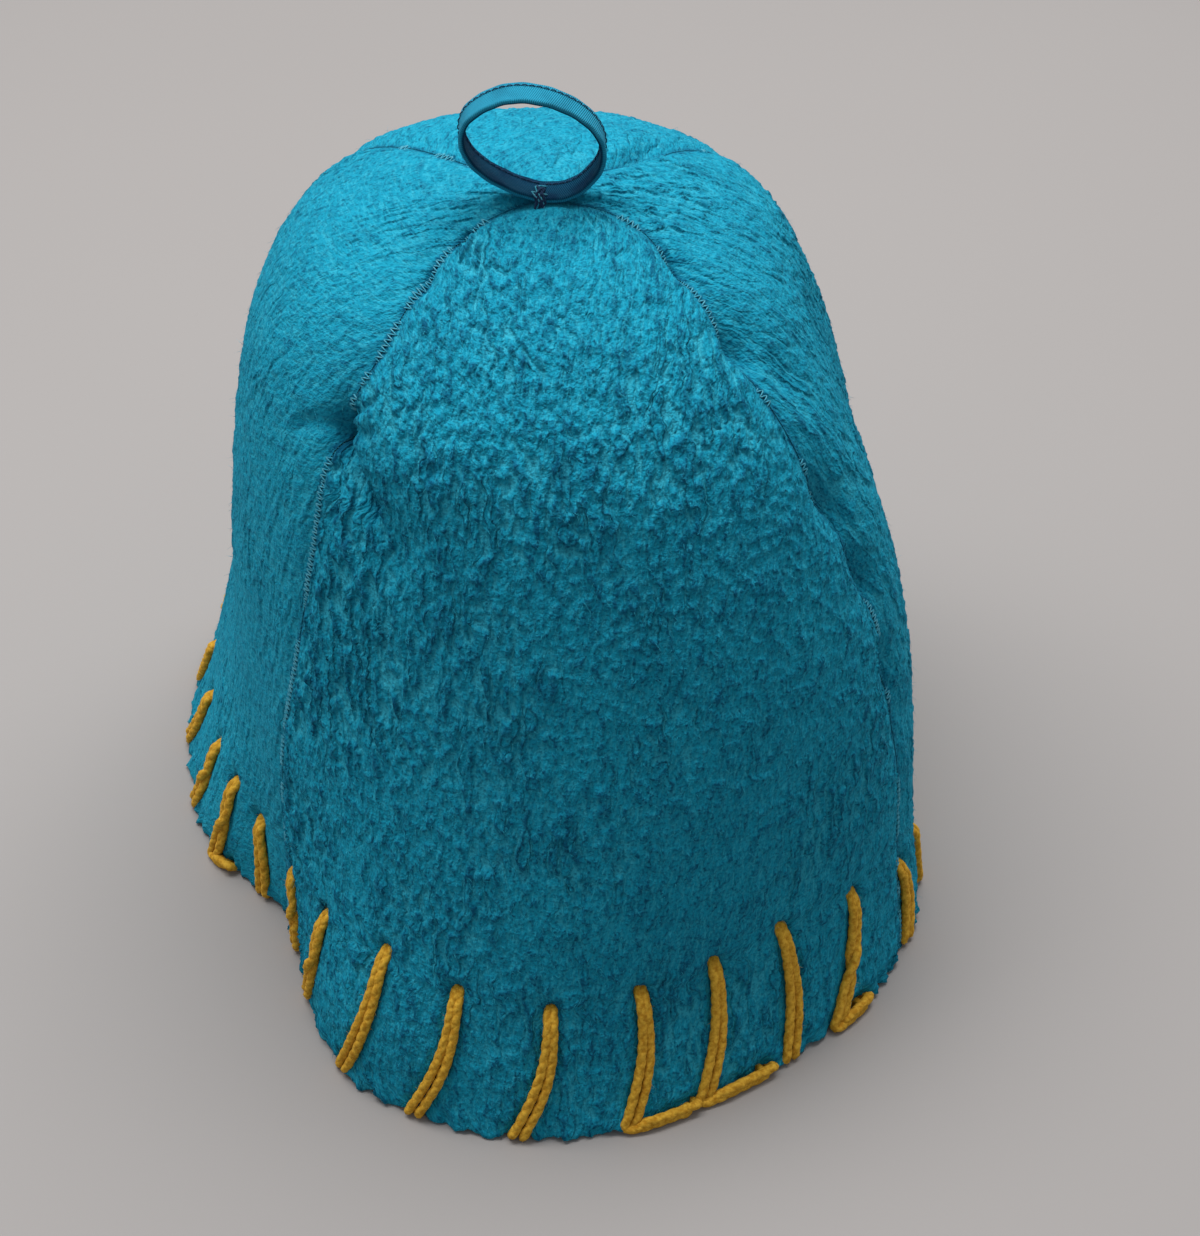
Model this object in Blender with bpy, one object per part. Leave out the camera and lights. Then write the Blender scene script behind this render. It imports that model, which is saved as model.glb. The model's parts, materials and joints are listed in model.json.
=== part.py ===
"""A felt sauna hat, in metres with +Z up.

Four felt petals are sewn edge to edge into a tall crown that flares to a wavy rim, and a
loop of folded tape stands on the pole. The hat rests on its rim at z = 0 with its front
towards -Y, and the origin is the bottom centre of its box.

The skin is lofted through level sections. Eight stations run round each section, starting
at the middle of the front and going to the wearer's left: four lie on the middles of the
petals and four on the seams.
"""

import math
from collections import namedtuple

import bmesh
import bpy
from mathutils import Vector

# Driving dimensions of the felt
HAT_HEIGHT = 0.216
HALF_WIDTH = 0.116
HALF_DEPTH = 0.148
FELT_THICKNESS = 0.003
SEAM_GAP = 0.0003
SEAM_SINK = 0.0012
SEAM_SINK_REACH = 0.004

# Driving dimensions of the hanging loop, the first two over the middle of the tape
LOOP_WIDTH = 0.037
LOOP_HEIGHT = 0.032
TAPE_WIDTH = 0.009
TAPE_THICKNESS = 0.0016
LOOP_SEAT_GAP = 0.0003

# How finely each petal and the loop are faceted
PETAL_COLUMNS = 18
PETAL_ROWS = 28
COLUMN_EASE = 0.4
LOOP_STEPS = 40

UP = Vector((0.0, 0.0, 1.0))
NORMAL_STEP = 0.02  # in stations and in sections

STATIONS = 8
FRONT, FRONT_RIGHT, RIGHT, BACK_RIGHT, BACK, BACK_LEFT, LEFT, FRONT_LEFT = range(STATIONS)
SEAM_STATIONS = (FRONT_RIGHT, BACK_RIGHT, BACK_LEFT, FRONT_LEFT)

# Sections from the pole down to the rim. The height is a share of HAT_HEIGHT, the front and
# back radii are shares of HALF_DEPTH, and the others are shares of HALF_WIDTH.
Section = namedtuple(
    "Section", "height front front_right right back_right back back_left left front_left"
)
SECTIONS = (
    Section(1.000, 0.010, 0.012, 0.012, 0.012, 0.010, 0.012, 0.012, 0.012),
    Section(0.996, 0.120, 0.170, 0.165, 0.190, 0.160, 0.200, 0.165, 0.165),
    Section(0.970, 0.265, 0.370, 0.355, 0.415, 0.340, 0.455, 0.370, 0.350),
    Section(0.915, 0.405, 0.550, 0.540, 0.610, 0.490, 0.645, 0.555, 0.525),
    Section(0.815, 0.530, 0.725, 0.655, 0.735, 0.600, 0.770, 0.685, 0.665),
    Section(0.665, 0.650, 0.885, 0.745, 0.840, 0.670, 0.850, 0.755, 0.760),
    Section(0.490, 0.750, 0.985, 0.810, 0.920, 0.730, 0.920, 0.795, 0.825),
    Section(0.320, 0.840, 1.040, 0.840, 0.960, 0.785, 0.980, 0.820, 0.870),
    Section(0.150, 0.930, 1.080, 0.870, 1.010, 0.835, 1.050, 0.895, 0.885),
    Section(0.000, 1.015, 1.140, 0.910, 1.050, 0.880, 1.120, 0.990, 0.890),
)
LAST_SECTION = len(SECTIONS) - 1

# Where each seam runs at each section, in degrees round from the front. The front seams
# come to the pole from the sides and straighten on the way down.
SeamTurns = namedtuple("SeamTurns", "front_right back_right back_left front_left")
SEAM_TURNS = (
    SeamTurns(78.0, 133.0, 226.0, 298.0),
    SeamTurns(72.0, 133.0, 226.0, 302.0),
    SeamTurns(57.0, 133.0, 226.0, 311.0),
    SeamTurns(50.0, 133.0, 226.0, 315.5),
    SeamTurns(50.0, 133.0, 226.0, 312.5),
    SeamTurns(54.0, 133.0, 226.0, 313.5),
    SeamTurns(56.5, 133.0, 226.0, 311.5),
    SeamTurns(56.5, 133.0, 226.0, 309.0),
    SeamTurns(55.0, 133.0, 226.0, 309.0),
    SeamTurns(52.5, 133.0, 226.0, 309.0),
)

# Dents and folds. Each is a soft ridge or hollow along a line from one station and section
# to another. The spread is in sections, and the lift is a share of HALF_WIDTH, outwards.
Fold = namedtuple("Fold", "from_station from_section to_station to_section spread lift")
FOLDS = {
    "pucker on the front left seam": Fold(-1.02, 3.85, -1.01, 3.95, 0.28, -0.018),
    "fold running down from the pucker": Fold(-0.93, 4.00, -0.58, 4.60, 0.26, -0.022),
    "swell beside that fold": Fold(-0.80, 3.50, -0.45, 4.05, 0.45, 0.014),
    "ridge where the front turns down": Fold(-0.60, 3.85, 0.80, 4.05, 0.65, 0.014),
    "dip in the upper front right seam": Fold(1.00, 1.90, 1.04, 2.20, 0.30, -0.013),
    "dip in the right shoulder": Fold(1.06, 3.00, 1.20, 3.60, 0.35, -0.022),
    "dip in the middle of the front right seam": Fold(1.02, 4.60, 1.02, 5.30, 0.40, -0.022),
    "dip in the lower front right seam": Fold(1.00, 6.10, 1.00, 6.60, 0.40, -0.015),
    "dent at the top of the back right seam": Fold(3.05, 1.50, 3.05, 1.70, 0.35, -0.022),
    "swell of the left petal": Fold(-2.10, 2.80, -1.70, 4.20, 1.00, 0.012),
    "soft channel beside the left seam": Fold(-1.22, 6.20, -1.18, 8.00, 0.70, -0.014),
    "flare of the front petal at the left": Fold(-0.46, 8.60, -0.46, 9.60, 0.90, 0.075),
    "flare of the left petal": Fold(-1.50, 8.80, -1.50, 9.60, 0.95, 0.050),
    "flat of the rim at the right": Fold(0.40, 8.20, 0.40, 9.60, 1.10, -0.055),
    "soft wave in the back rim": Fold(4.00, 8.40, 4.00, 9.60, 1.00, 0.030),
}
SECTIONS_PER_STATION = 3.3  # a station is about this many sections long, measured on the felt
LEVEL_SECTIONS = 1.0  # the felt's face turns level over this many sections up to the pole
RIM_LEVEL_SHARE = 0.12  # below this share of the height, folds only move the felt level

# The middle line of the loop, seen from the front, from the foot and round to the right.
# Across is a share of LOOP_WIDTH and up a share of LOOP_HEIGHT.
LoopPoint = namedtuple("LoopPoint", "across up")
LOOP_LINE = (
    LoopPoint(0.03, 0.03),
    LoopPoint(0.25, 0.08),
    LoopPoint(0.42, 0.30),
    LoopPoint(0.44, 0.55),
    LoopPoint(0.32, 0.77),
    LoopPoint(0.10, 0.93),
    LoopPoint(-0.15, 0.99),
    LoopPoint(-0.36, 0.93),
    LoopPoint(-0.53, 0.77),
    LoopPoint(-0.56, 0.55),
    LoopPoint(-0.45, 0.32),
    LoopPoint(-0.22, 0.13),
)

Finish = namedtuple("Finish", "colour roughness metallic")
FELT_FINISH = Finish((0.010, 0.195, 0.275, 1.0), 0.95, 0.0)
TAPE_FINISH = Finish((0.022, 0.130, 0.235, 1.0), 0.60, 0.0)


def spline(before, start, end, after, share):
    """A Catmull-Rom curve from start to end, at a share of the way."""
    return 0.5 * (
        2 * start
        + (end - before) * share
        + (2 * before - 5 * start + 4 * end - after) * share**2
        + (3 * start - before - 3 * end + after) * share**3
    )


def down_the_table(rows, place):
    """The values of a table of rows at a place between its rows."""
    last = len(rows) - 1
    row = min(int(max(place, 0.0)), last - 1)
    columns = zip(*(rows[min(max(row + step, 0), last)] for step in (-1, 0, 1, 2)))
    values = []
    for before, start, end, after in columns:
        before = 2 * start - end if row == 0 else before
        after = 2 * end - start if row == last - 1 else after
        values.append(spline(before, start, end, after, place - row))
    return values


def round_the_hat(values, station, whole_turn=0.0):
    """One value for each station, read between the stations of the closed ring."""
    first = math.floor(station)
    four = []
    for index in range(first - 1, first + 3):
        laps, within = divmod(index, STATIONS)
        four.append(values[within] + whole_turn * laps)
    return spline(*four, station - first)


def section_at(place):
    """Height, then the radius and the turn of each station, at a place down the sections."""
    height, *shares = down_the_table(SECTIONS, place)
    radii = [
        share * (HALF_DEPTH if station in (FRONT, BACK) else HALF_WIDTH)
        for station, share in enumerate(shares)
    ]
    turns = [station * math.tau / STATIONS for station in range(STATIONS)]
    for station, degrees in zip(SEAM_STATIONS, down_the_table(SEAM_TURNS, place)):
        turns[station] = math.radians(degrees)
    return height * HAT_HEIGHT, radii, turns


def smooth_point(station, place):
    """A point on the skin before it is dented or folded."""
    height, radii, turns = section_at(place)
    radius = round_the_hat(radii, station)
    turn = round_the_hat(turns, station, math.tau)
    return Vector((radius * math.sin(turn), -radius * math.cos(turn), height))


def normal_of(surface, station, place):
    """The outward normal of a surface, and how far it runs for one station."""
    low = max(place - NORMAL_STEP, 0.0)
    high = min(place + NORMAL_STEP, LAST_SECTION)
    along = surface(station + NORMAL_STEP, place) - surface(station - NORMAL_STEP, place)
    down = surface(station, high) - surface(station, low)
    normal = UP.lerp(down.cross(along).normalized(), min(place / LEVEL_SECTIONS, 1.0))
    return normal.normalized(), along.length / (2 * NORMAL_STEP)


def distance_to_fold(fold, station, place):
    """How far a point lies from a fold's line, in sections."""
    lap = round((station - fold.from_station) / STATIONS) * STATIONS
    start = Vector(((fold.from_station + lap) * SECTIONS_PER_STATION, fold.from_section))
    end = Vector(((fold.to_station + lap) * SECTIONS_PER_STATION, fold.to_section))
    point = Vector((station * SECTIONS_PER_STATION, place))
    run = end - start
    share = (point - start).dot(run) / max(run.length_squared, 1e-9)
    return (point - start - run * min(max(share, 0.0), 1.0)).length


def folded_lift(station, place):
    """How far the folds push the skin outwards."""
    return HALF_WIDTH * sum(
        fold.lift * math.exp(-((distance_to_fold(fold, station, place) / fold.spread) ** 2))
        for fold in FOLDS.values()
    )


def seam_lift(station, station_length):
    """The shallow channel in which each seam lies."""
    seam = 2 * math.floor(station / 2) + 1
    away = abs(station - seam) * station_length
    return -SEAM_SINK * math.exp(-((away / SEAM_SINK_REACH) ** 2))


def skin_point(station, place):
    """A point on the outer skin of the felt."""
    point = smooth_point(station, place)
    normal, station_length = normal_of(smooth_point, station, place)
    normal.z *= min(point.z / (RIM_LEVEL_SHARE * HAT_HEIGHT), 1.0)
    lift = folded_lift(station, place) + seam_lift(station, station_length)
    return point + normal.normalized() * lift


def lining_point(skin, normal, at_rim):
    """The point behind one of the skin, through the felt. At the rim it stays level."""
    if not at_rim:
        return skin - normal * FELT_THICKNESS
    level = Vector((normal.x, normal.y, 0.0))
    return skin - level * (FELT_THICKNESS / level.length_squared)


def petal_stations(start, end, place):
    """The columns of a petal, closer together at its seams and half a gap inside them."""
    stations = []
    for column in range(PETAL_COLUMNS + 1):
        share = column / PETAL_COLUMNS
        share -= COLUMN_EASE * math.sin(math.tau * share) / math.tau
        stations.append(start + (end - start) * share)
    for column, side in ((0, 1), (PETAL_COLUMNS, -1)):
        _, station_length = normal_of(smooth_point, stations[column], place)
        stations[column] += side * SEAM_GAP / 2 / station_length
    return stations


def petal_rows(start, end):
    """Rows of pairs of points, one on the skin and one behind it, from the pole to the rim."""
    rows = []
    for row in range(PETAL_ROWS + 1):
        place = LAST_SECTION * row / PETAL_ROWS
        pairs = []
        for station in petal_stations(start, end, place):
            skin = skin_point(station, place)
            normal, _ = normal_of(skin_point, station, place)
            pairs.append((skin, lining_point(skin, normal, row == PETAL_ROWS)))
        rows.append(pairs)
    return rows


def plan_centre(petals):
    """The middle of the box round the hat, seen from above."""
    points = [skin for rows in petals.values() for pairs in rows for skin, _ in pairs]
    xs, ys = [point.x for point in points], [point.y for point in points]
    return Vector(((min(xs) + max(xs)) / 2, (min(ys) + max(ys)) / 2, 0.0))


def felt_mesh(name, rows, centre):
    """A closed wall: two sheets of faces joined round their edges."""
    shell = bmesh.new()
    sheets = [
        [[shell.verts.new(pair[side] - centre) for pair in pairs] for pairs in rows]
        for side in (0, 1)
    ]
    skin, lining = sheets
    for sheet in sheets:
        for upper, lower in zip(sheet, sheet[1:]):
            for a, b, c, d in zip(upper, upper[1:], lower[1:], lower):
                shell.faces.new((a, b, c, d))
    edges = [(skin[0], lining[0]), (skin[-1], lining[-1])]
    for column in (0, -1):
        edges.append(([row[column] for row in skin], [row[column] for row in lining]))
    for outer, inner in edges:
        for a, b, c, d in zip(outer, outer[1:], inner[1:], inner):
            shell.faces.new((a, b, c, d))
    bmesh.ops.recalc_face_normals(shell, faces=shell.faces)
    if shell.calc_volume(signed=True) < 0:
        bmesh.ops.reverse_faces(shell, faces=shell.faces)
    mesh = bpy.data.meshes.new(name)
    shell.to_mesh(mesh)
    shell.free()
    mesh.shade_smooth()
    mesh.set_sharp_from_angle(angle=math.radians(50))
    return mesh


def loop_line():
    """The middle line of the tape, in the plane of the loop, with its direction."""
    line = []
    for step in range(LOOP_STEPS):
        place = len(LOOP_LINE) * step / LOOP_STEPS
        first = int(place)
        four = [LOOP_LINE[(first + index) % len(LOOP_LINE)] for index in (-1, 0, 1, 2)]
        across = spline(*(point.across for point in four), place - first)
        up = spline(*(point.up for point in four), place - first)
        line.append(Vector((across * LOOP_WIDTH, up * LOOP_HEIGHT)))
    return line


def offset_outline(line, distance):
    """A closed outline moved outwards by a distance, for one that runs anticlockwise."""
    moved = []
    for index, point in enumerate(line):
        run = (line[(index + 1) % len(line)] - line[index - 1]).normalized()
        moved.append(point + Vector((run.y, -run.x)) * distance)
    return moved


def make_loop(collection, pole):
    """The tape loop: a flat ring as thick as the tape, set upright on the pole."""
    line = loop_line()
    curve = bpy.data.curves.new("hanging_loop", "CURVE")
    curve.dimensions = "2D"
    curve.fill_mode = "BOTH"
    curve.extrude = TAPE_WIDTH / 2
    outlines = [offset_outline(line, side * TAPE_THICKNESS / 2) for side in (1, -1)]
    for outline in outlines:
        ring = curve.splines.new("POLY")
        ring.points.add(len(outline) - 1)
        for point, place in zip(ring.points, outline):
            point.co = (place.x, place.y, 0.0, 1.0)
        ring.use_cyclic_u = True
    foot = min(point.y for point in outlines[0])
    loop = bpy.data.objects.new("hanging_loop", curve)
    loop.rotation_euler = (math.radians(90), 0.0, 0.0)
    loop.location = pole + Vector((0.0, 0.0, LOOP_SEAT_GAP - foot))
    collection.objects.link(loop)
    return loop


def make_material(name, finish):
    """A plain finish with one colour."""
    material = bpy.data.materials.new(name)
    material.use_nodes = True
    material.diffuse_color = finish.colour
    shader = material.node_tree.nodes["Principled BSDF"]
    shader.inputs["Base Color"].default_value = finish.colour
    shader.inputs["Roughness"].default_value = finish.roughness
    shader.inputs["Metallic"].default_value = finish.metallic
    return material


def clear_scene():
    """Removes the objects that a new file starts with."""
    for thing in list(bpy.data.objects):
        bpy.data.objects.remove(thing, do_unlink=True)


def main():
    """Builds the four petals and the loop in a collection of their own."""
    clear_scene()
    collection = bpy.data.collections.new("sauna_hat")
    bpy.context.scene.collection.children.link(collection)
    petals = {
        "front_panel": petal_rows(FRONT_LEFT - STATIONS, FRONT_RIGHT),
        "right_panel": petal_rows(FRONT_RIGHT, BACK_RIGHT),
        "back_panel": petal_rows(BACK_RIGHT, BACK_LEFT),
        "left_panel": petal_rows(BACK_LEFT, FRONT_LEFT),
    }
    centre = plan_centre(petals)
    for name, rows in petals.items():
        petal = bpy.data.objects.new(name, felt_mesh(name, rows, centre))
        petal.data.materials.append(make_material(f"{name}_felt", FELT_FINISH))
        collection.objects.link(petal)
    loop = make_loop(collection, Vector((0.0, 0.0, HAT_HEIGHT)) - centre)
    loop.data.materials.append(make_material("loop_tape", TAPE_FINISH))


main()
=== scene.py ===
"""A felt sauna hat, dressed for its studio picture.

Four petals of matted turquoise wool are sewn edge to edge with a zigzag of pale thread,
mustard yarn is whipped round the rim, and a loop of folded tape stands on the pole. Sizes
are in metres, +Z is up and the hat's front looks towards -Y.
"""

import enum
import json
import logging
import math
from dataclasses import dataclass
from typing import Any, NamedTuple

import bpy
import numpy as np
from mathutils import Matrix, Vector
from mathutils.kdtree import KDTree

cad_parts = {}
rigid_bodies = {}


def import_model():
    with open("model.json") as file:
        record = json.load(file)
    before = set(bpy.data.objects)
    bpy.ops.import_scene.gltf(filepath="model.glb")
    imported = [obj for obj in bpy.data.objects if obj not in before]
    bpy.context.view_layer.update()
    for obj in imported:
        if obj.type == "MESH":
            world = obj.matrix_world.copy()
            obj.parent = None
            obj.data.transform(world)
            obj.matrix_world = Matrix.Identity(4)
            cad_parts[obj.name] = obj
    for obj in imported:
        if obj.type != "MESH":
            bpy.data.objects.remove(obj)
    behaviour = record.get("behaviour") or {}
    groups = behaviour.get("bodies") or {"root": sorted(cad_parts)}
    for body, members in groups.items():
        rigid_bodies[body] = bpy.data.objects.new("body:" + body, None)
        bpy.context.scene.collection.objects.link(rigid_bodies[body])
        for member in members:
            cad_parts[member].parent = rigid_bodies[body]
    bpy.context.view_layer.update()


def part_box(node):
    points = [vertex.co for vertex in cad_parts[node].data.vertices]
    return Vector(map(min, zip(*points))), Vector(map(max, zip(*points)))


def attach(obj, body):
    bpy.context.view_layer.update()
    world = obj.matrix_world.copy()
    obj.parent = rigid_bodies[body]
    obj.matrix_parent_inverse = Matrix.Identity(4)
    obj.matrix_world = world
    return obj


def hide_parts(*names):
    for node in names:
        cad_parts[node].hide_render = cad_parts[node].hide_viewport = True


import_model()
LOG = logging.getLogger("sauna_hat")

Array = np.ndarray
Colour = tuple[float, float, float, float]
STATIONS = 8
UP = np.array((0.0, 0.0, 1.0))
ACROSS = np.array((1.0, 0.0, 0.0))


class Slot(enum.Enum):
    """The material slots of the record."""

    FELT = "felt"
    TAPE = "loop_tape"
    YARN = "yarn"
    THREAD = "thread"


class Lay(enum.Enum):
    """Which way a petal's nap is brushed, in degrees down from level."""

    AROUND = 12.0
    SLANTING = 38.0
    DOWN = 80.0


class Kind(enum.Enum):
    """The kinds of input that a recipe takes."""

    NUMBER = "NodeSocketFloat"
    COUNT = "NodeSocketInt"
    FINISH = "NodeSocketMaterial"


class Wire:
    """A node's output that Python expressions can be written with."""

    def __init__(self, canvas: "Canvas", socket: bpy.types.NodeSocket) -> None:
        """Keeps the socket and the tree it is drawn in."""
        self.canvas = canvas
        self.socket = socket

    def maths(self, operation: str, *operands: Any) -> "Wire":
        """One Math node on these operands."""
        sockets = dict(enumerate(operands))
        return self.canvas.node("ShaderNodeMath", {"operation": operation}, sockets)

    def turned(self, operation: str) -> "Wire":
        """One Math node on this value alone, such as its sine."""
        return self.maths(operation, self)

    def __add__(self, other: Any) -> "Wire":
        """The sum."""
        return self.maths("ADD", self, other)

    def __sub__(self, other: Any) -> "Wire":
        """The difference."""
        return self.maths("SUBTRACT", self, other)

    def __rsub__(self, other: Any) -> "Wire":
        """The difference, from a number."""
        return self.maths("SUBTRACT", other, self)

    def __mul__(self, other: Any) -> "Wire":
        """The product."""
        return self.maths("MULTIPLY", self, other)

    def __truediv__(self, other: Any) -> "Wire":
        """The quotient."""
        return self.maths("DIVIDE", self, other)

    def __abs__(self) -> "Wire":
        """The size without its sign."""
        return self.turned("ABSOLUTE")

    def least(self, other: Any) -> "Wire":
        """The smaller of two values."""
        return self.maths("MINIMUM", self, other)

    def ramp(self, low: float, high: float, start: float = 0.0, end: float = 1.0) -> "Wire":
        """A smooth step.

        Args:
            low: the value at which the step starts.
            high: the value at which it ends, which may be the smaller of the two.
            start: what the step gives at and before low.
            end: what it gives at and past high.

        Returns:
            The stepped value.
        """
        if high < low:
            low, high, start, end = high, low, end, start
        return self.canvas.node(
            "ShaderNodeMapRange",
            {"interpolation_type": "SMOOTHSTEP"},
            {"Value": self, "From Min": low, "From Max": high, "To Min": start, "To Max": end},
        )

    def output(self, name: str) -> "Wire":
        """Another output of the same node."""
        return Wire(self.canvas, self.socket.node.outputs[name])


class Canvas:
    """A node tree, drawn by writing expressions."""

    def __init__(self, tree: bpy.types.NodeTree) -> None:
        """Starts drawing in a tree."""
        self.tree = tree

    def node(
        self,
        kind: str,
        settings: dict[str, Any] | None = None,
        sockets: dict[int | str, Any] | None = None,
        output: int | str = 0,
    ) -> Wire:
        """Makes one node.

        Args:
            kind: the node's type.
            settings: its properties, set before its sockets.
            sockets: a value or a Wire for each input that isn't left alone.
            output: which output is returned.

        Returns:
            The chosen output.
        """
        node = self.tree.nodes.new(kind)
        for name, value in (settings or {}).items():
            setattr(node, name, value)
        self.feed(node, sockets or {})
        return Wire(self, node.outputs[output])

    def feed(self, node: bpy.types.Node, sockets: dict[int | str, Any]) -> None:
        """Links or sets a node's inputs."""
        for name, value in sockets.items():
            if isinstance(value, Wire):
                self.tree.links.new(value.socket, node.inputs[name])
            else:
                node.inputs[name].default_value = value

    def vector(self, operation: str, first: Any, second: Any) -> Wire:
        """One Vector Math node on two vectors, or on a vector and a number for SCALE."""
        sockets = {0: first, 3 if operation == "SCALE" else 1: second}
        return self.node("ShaderNodeVectorMath", {"operation": operation}, sockets)

    def split(self, vector: Wire) -> list[Wire]:
        """The three parts of a vector."""
        parts = self.node("ShaderNodeSeparateXYZ", {}, {0: vector})
        return [parts.output(axis) for axis in "XYZ"]

    def blend(self, share: Any, first: Any, second: Any) -> Wire:
        """A colour between two colours."""
        sockets = {0: share, 6: first, 7: second}
        return self.node("ShaderNodeMix", {"data_type": "RGBA"}, sockets, 2)

    def noise(self, place: Wire, size: float, detail: float = 1.0, output: int = 0) -> Wire:
        """Soft noise.

        Args:
            place: where it is read, in metres.
            size: how far apart its lumps are.
            detail: how many finer layers it has.
            output: 0 for a number and 1 for a colour.

        Returns:
            The noise, from 0 to 1.
        """
        sockets = {"Vector": place, "Scale": 1.0 / size, "Detail": detail, "Roughness": 0.55}
        return self.node("ShaderNodeTexNoise", {}, sockets, output)


class Recipe(Canvas):
    """A Geometry Nodes tree with named inputs."""

    def __init__(self, name: str, inputs: dict[str, Kind]) -> None:
        """Makes the tree, its geometry sockets and its named inputs."""
        super().__init__(bpy.data.node_groups.new(name, "GeometryNodeTree"))
        face = self.tree.interface
        face.new_socket("Geometry", in_out="INPUT", socket_type="NodeSocketGeometry")
        face.new_socket("Geometry", in_out="OUTPUT", socket_type="NodeSocketGeometry")
        self.ids = {
            label: face.new_socket(label, in_out="INPUT", socket_type=kind.value).identifier
            for label, kind in inputs.items()
        }
        self.start = self.node("NodeGroupInput")

    def given(self, label: str) -> Wire:
        """One of the named inputs."""
        return self.start.output(label)

    def random(self, low: Any, high: Any, seed: Wire, kind: str = "FLOAT") -> Wire:
        """A random number or vector for each element."""
        first, output = (0, 0) if kind == "FLOAT_VECTOR" else (2, 1)
        sockets = {first: low, first + 1: high, 8: seed}
        return self.node("FunctionNodeRandomValue", {"data_type": kind}, sockets, output)

    def attribute(self, name: str, kind: str = "FLOAT_VECTOR") -> Wire:
        """A named attribute of the geometry."""
        return self.node("GeometryNodeInputNamedAttribute", {"data_type": kind}, {"Name": name})

    def line(self, mode: str, amount: Any, soft: bool) -> Wire:
        """The mesh's runs of edges, as curves cut into even steps.

        Args:
            mode: LENGTH or COUNT.
            amount: the length of a step, or the count of points.
            soft: True where the corners are rounded first.

        Returns:
            The curves.
        """
        line = self.node("GeometryNodeMeshToCurve", {}, {"Mesh": self.start})
        if soft:
            settings = {"spline_type": "CATMULL_ROM"}
            line = self.node("GeometryNodeCurveSplineType", settings, {"Curve": line})
        sockets = {"Curve": line, mode.title(): amount}
        return self.node("GeometryNodeResampleCurve", {"mode": mode}, sockets)

    def shift(self, shape: Wire, offset: Wire) -> Wire:
        """A shape, each of its points moved."""
        return self.node("GeometryNodeSetPosition", {}, {"Geometry": shape, "Offset": offset})

    def tube(self, line: Wire, radius: Any, sides: int) -> Wire:
        """A tube of round section along a curve, with closed ends."""
        sockets = {"Resolution": sides, "Radius": radius}
        ring = self.node("GeometryNodeCurvePrimitiveCircle", {}, sockets)
        sockets = {"Curve": line, "Profile Curve": ring, "Fill Caps": True}
        return self.node("GeometryNodeCurveToMesh", {}, sockets)

    def close(self, shapes: list[Wire]) -> None:
        """Joins the shapes, makes them real and gives them the finish."""
        joined = self.node("GeometryNodeJoinGeometry")
        for shape in reversed(shapes):
            self.tree.links.new(shape.socket, joined.socket.node.inputs[0])
        real = self.node("GeometryNodeRealizeInstances", {}, {"Geometry": joined})
        smooth = self.node("GeometryNodeSetShadeSmooth", {}, {"Geometry": real})
        sockets = {"Geometry": smooth, "Material": self.given("Finish")}
        dressed = self.node("GeometryNodeSetMaterial", {}, sockets)
        end = self.tree.nodes.new("NodeGroupOutput")
        self.tree.links.new(dressed.socket, end.inputs[0])

    def run(self, mesh: bpy.types.Mesh, name: str, values: dict[str, Any]) -> bpy.types.Mesh:
        """Runs the recipe on a mesh.

        Args:
            mesh: what it starts from.
            name: the name of the result.
            values: a value for each named input.

        Returns:
            The result as a plain mesh.
        """
        holder = new_object(name, mesh)
        modifier = holder.modifiers.new(name, "NODES")
        modifier.node_group = self.tree
        for label, value in values.items():
            modifier[self.ids[label]] = value
        graph = bpy.context.evaluated_depsgraph_get()
        result = bpy.data.meshes.new_from_object(
            holder.evaluated_get(graph), preserve_all_data_layers=True, depsgraph=graph
        )
        result.name = name
        bpy.data.objects.remove(holder, do_unlink=True)
        return result


def new_object(name: str, data: bpy.types.ID) -> bpy.types.Object:
    """Makes an object and puts it in the scene."""
    made = bpy.data.objects.new(name, data)
    bpy.context.scene.collection.objects.link(made)
    return made


def plain_mesh(
    name: str, points: Array, faces: list[list[int]], attributes: dict[str, Array] | None = None
) -> bpy.types.Mesh:
    """Makes a mesh.

    Args:
        name: the mesh's name.
        points: one row for each vertex.
        faces: the vertices of each face, or of each edge where they are pairs.
        attributes: values for each vertex, as numbers or as vectors.

    Returns:
        The mesh, shaded smooth.
    """
    mesh = bpy.data.meshes.new(name)
    pairs = bool(faces) and len(faces[0]) == 2
    mesh.from_pydata(points.tolist(), faces if pairs else [], [] if pairs else faces)
    for label, values in (attributes or {}).items():
        kind, key = ("FLOAT_VECTOR", "vector") if values.ndim == 2 else ("FLOAT", "value")
        layer = mesh.attributes.new(label, kind, "POINT")
        layer.data.foreach_set(key, np.ascontiguousarray(values, np.float32).ravel())
    mesh.shade_smooth()
    return mesh


def place_piece(name: str, mesh: bpy.types.Mesh) -> bpy.types.Object:
    """Puts a finished mesh in the scene and reports it.

    Args:
        name: the piece's name.
        mesh: its mesh, already in place.

    Returns:
        The piece, which rides on the hat.
    """
    piece = new_object(name, mesh)
    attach(piece, "root")
    LOG.info("%s: %d faces", name, len(mesh.polygons))
    return piece


def quads(index: Array) -> list[list[int]]:
    """The quads between the rows and columns of a grid of vertex numbers."""
    corners = (index[:-1, :-1], index[:-1, 1:], index[1:, 1:], index[1:, :-1])
    return np.stack(corners, -1).reshape(-1, 4).tolist()


def zip_edges(first: Array, second: Array) -> list[list[int]]:
    """Triangles between two runs of vertices that need not be equally long."""
    faces, a, b = [], 0, 0
    while a < len(first) - 1 or b < len(second) - 1:
        ahead = (a + 1) * (len(second) - 1) <= (b + 1) * (len(first) - 1)
        if b == len(second) - 1 or (ahead and a < len(first) - 1):
            faces.append([int(first[a]), int(first[a + 1]), int(second[b])])
            a += 1
        else:
            faces.append([int(first[a]), int(second[b + 1]), int(second[b])])
            b += 1
    return faces


def unit(vectors: Array) -> Array:
    """Vectors of length one."""
    return vectors / np.maximum(np.linalg.norm(vectors, axis=-1, keepdims=True), 1e-12)


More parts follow.
